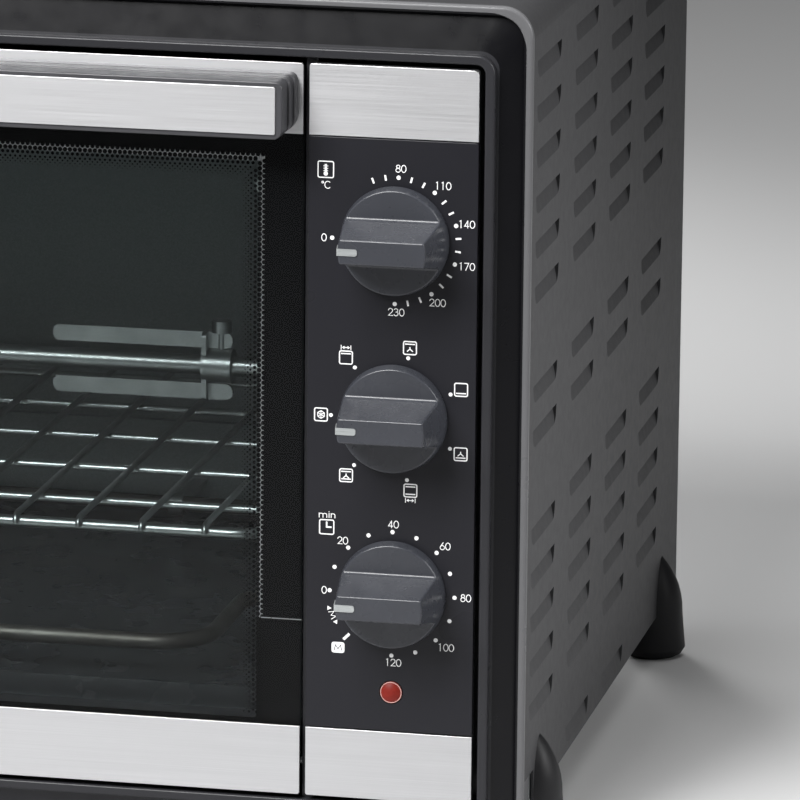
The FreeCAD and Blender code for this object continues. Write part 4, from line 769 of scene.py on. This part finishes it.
for step in range(7):
    x, z = ring_place(180 - step * 360 / 7)
    sheet.add(spot(x, z, 0.92 * DOT))
snow_sign(sheet, -27.8, 0)
oven_sign(sheet, -18.4, 22.4, top=True, spit=1)
oven_sign(sheet, 6.0, 27.3, top=True, fan=True)
oven_sign(sheet, 25.6, 12.4, bottom=True)
oven_sign(sheet, 25.7, -12.3, bottom=True, fan=True)
oven_sign(sheet, 6.7, -27.4, top=True, bottom=True, spit=-1)
oven_sign(sheet, -18.0, -22.9, top=True, bottom=True, fan=True)
print("function dial drawn")

for step in range(13):
    x, z = ring_place(180 - step * 22.5)
    sheet.add(spot(x, z, DOT), 0, -pitch)
for words, x, z in (("0", -26.1, 0), ("20", -19.1, 19.6), ("40", 0.3, 27.0), ("60", 20.2, 19.7),
                    ("80", 28.3, 0.1), ("100", 20.9, -19.6), ("120", 0.7, -26.7)):
    write(sheet, words, x, z - pitch, NUMBER)
write(sheet, "min", -25.1, 29.4 - pitch, 2.8, 0.3)
clock_sign(sheet, -25.3, 24.5 - pitch)
bar_x, bar_z = ring_place(225.5, 24.8)
sheet.add(ribbon([(-1.1, 0), (1.1, 0)], 1.1), bar_x, bar_z - pitch, turn=45)
FIELD_X, FIELD_Z = -20.6, -22.1
sheet.add(filled(rounded_box(5.0, 4.2, 0.9)), FIELD_X, FIELD_Z - pitch)
arrow = filled([(0.8, 0), (-0.8, 0.87), (-0.8, -0.87)])
for x, z, turn in ((-24.0, -6.95, 0), (-21.8, -12.2, 180)):
    sheet.add(arrow, x, z - pitch, turn=turn)
write(sheet, "M", -22.8, -9.45 - pitch, 2.25, 0.3, turn=-68)
INK_FRONT = panel_y - 0.03 * MM
sheet.print_on("dial_print", dial_x, dial_z, INK_FRONT, panel_ink, "oven")

dark_letter = Sheet()
write(dark_letter, "M", FIELD_X, FIELD_Z - pitch, 2.15, 0.3)
dark_letter.print_on("dial_letter", dial_x, dial_z, INK_FRONT - 0.06 * MM, panel_plate,
                     "oven")

# %% [markdown]
# ## Print on the door's glass
#
# The rim of the pane is printed black on its rear face, to hide the frame and the glue. Towards the window
# the black breaks up into dots that shrink, so that the edge fades softly and heats evenly. The rows of dots
# run along the window's edges and meet at the corners on a slant, as boards do in a picture frame, each row
# shifted half a step from the one before. A bright metal edging lies behind, and shows as a wavy light line
# between the first two rows. It stops some way above the sill, where a light line crosses the black border.

# %% Black border and dots
pane_low, pane_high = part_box("outer_glass")
strip_low, strip_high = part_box("door_top_strip")
low_strip_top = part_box("door_bottom_strip")[1][2] / MM
print_y = pane_high[1] - 0.06 * MM
DOT_STEP = 1.93
DOT_ROWS = ((-0.55, 0.86), (1.15, 0.88), (2.85, 0.66), (4.5, 0.46), (5.5, 0.34), (6.5, 0.26), (7.4, 0.15))
INK_EDGE = 0.75
window_left = strip_low[0] / MM + 16.35
window_right = strip_high[0] / MM - 16.35
window_top = strip_high[2] / MM - 36.65
window_bottom = low_strip_top + 1.0
edging_end = low_strip_top + 40.5


def block(left, right, low, high):
    """A plain upright rectangle."""
    return filled([(left, low), (right, low), (right, high), (left, high)])


glass_ink, tree, shader = start_finish("glass_ink", (0.004, 0.004, 0.0045), 0.4)
shader.inputs["Specular IOR Level"].default_value = 0.1
uneven_gloss(tree, shader, blotches(tree, 5), 0.35, 0.5)
border = Sheet()
rim_left, rim_right = pane_low[0] / MM + 0.4, pane_high[0] / MM - 0.4
rim_low, rim_high = pane_low[2] / MM + 0.4, pane_high[2] / MM - 0.4
ink_left, ink_right, ink_top = window_left - INK_EDGE, window_right + INK_EDGE, window_top + INK_EDGE
border.add(block(rim_left, rim_right, ink_top, rim_high))
border.add(block(rim_left, rim_right, rim_low, window_bottom))
border.add(block(rim_left, ink_left, window_bottom, ink_top))
border.add(block(ink_right, rim_right, window_bottom, ink_top))
border.add(block(ink_left, ink_left + 2.4, window_bottom, edging_end))
border.add(block(ink_right - 2.4, ink_right, window_bottom, edging_end))

for row, (inward, radius) in enumerate(DOT_ROWS):
    shift = DOT_STEP / 2 * (row % 2)
    for step in range(int((window_top - window_bottom) / DOT_STEP)):
        z = window_top - shift - step * DOT_STEP
        if z < window_top - inward - 0.7 * DOT_STEP and z > window_bottom + radius:
            border.add(spot(window_left + inward, z, radius, sides=12))
            border.add(spot(window_right - inward, z, radius, sides=12))
    for step in range(int((window_right - window_left) / DOT_STEP) + 1):
        x = window_right - shift - step * DOT_STEP
        if window_left + inward - 0.1 < x < window_right - inward + 0.1:
            border.add(spot(x, window_top - inward, radius, sides=12))
border.print_on("glass_print", 0, 0, print_y, glass_ink, "door")

# %% The light line round the window
edge_metal, tree, shader = start_finish("window_edging", (0.42, 0.42, 0.42), 0.3, 1.0)
uneven_gloss(tree, shader, blotches(tree, 2), 0.22, 0.4)
edging = Sheet()
edging.add(block(ink_left - 0.5, window_left + 0.75, edging_end, ink_top))
edging.add(block(window_right - 0.75, ink_right + 0.5, edging_end, ink_top))
edging.add(block(window_left, window_right, ink_top - 2.6, ink_top + 0.5))
edging.print_on("window_edging", 0, 0, print_y + 0.06 * MM, edge_metal, "door")

cross_line = Sheet()
cross_line.add(block(window_right - 0.5, strip_high[0] / MM - 0.3, edging_end - 0.21, edging_end + 0.21))
cross_line.add(block(strip_low[0] / MM + 0.3, window_left + 0.5, edging_end - 0.21, edging_end + 0.21))
cross_line.print_on("edging_end_line", 0, 0, print_y - 0.1 * MM, edge_metal, "door")
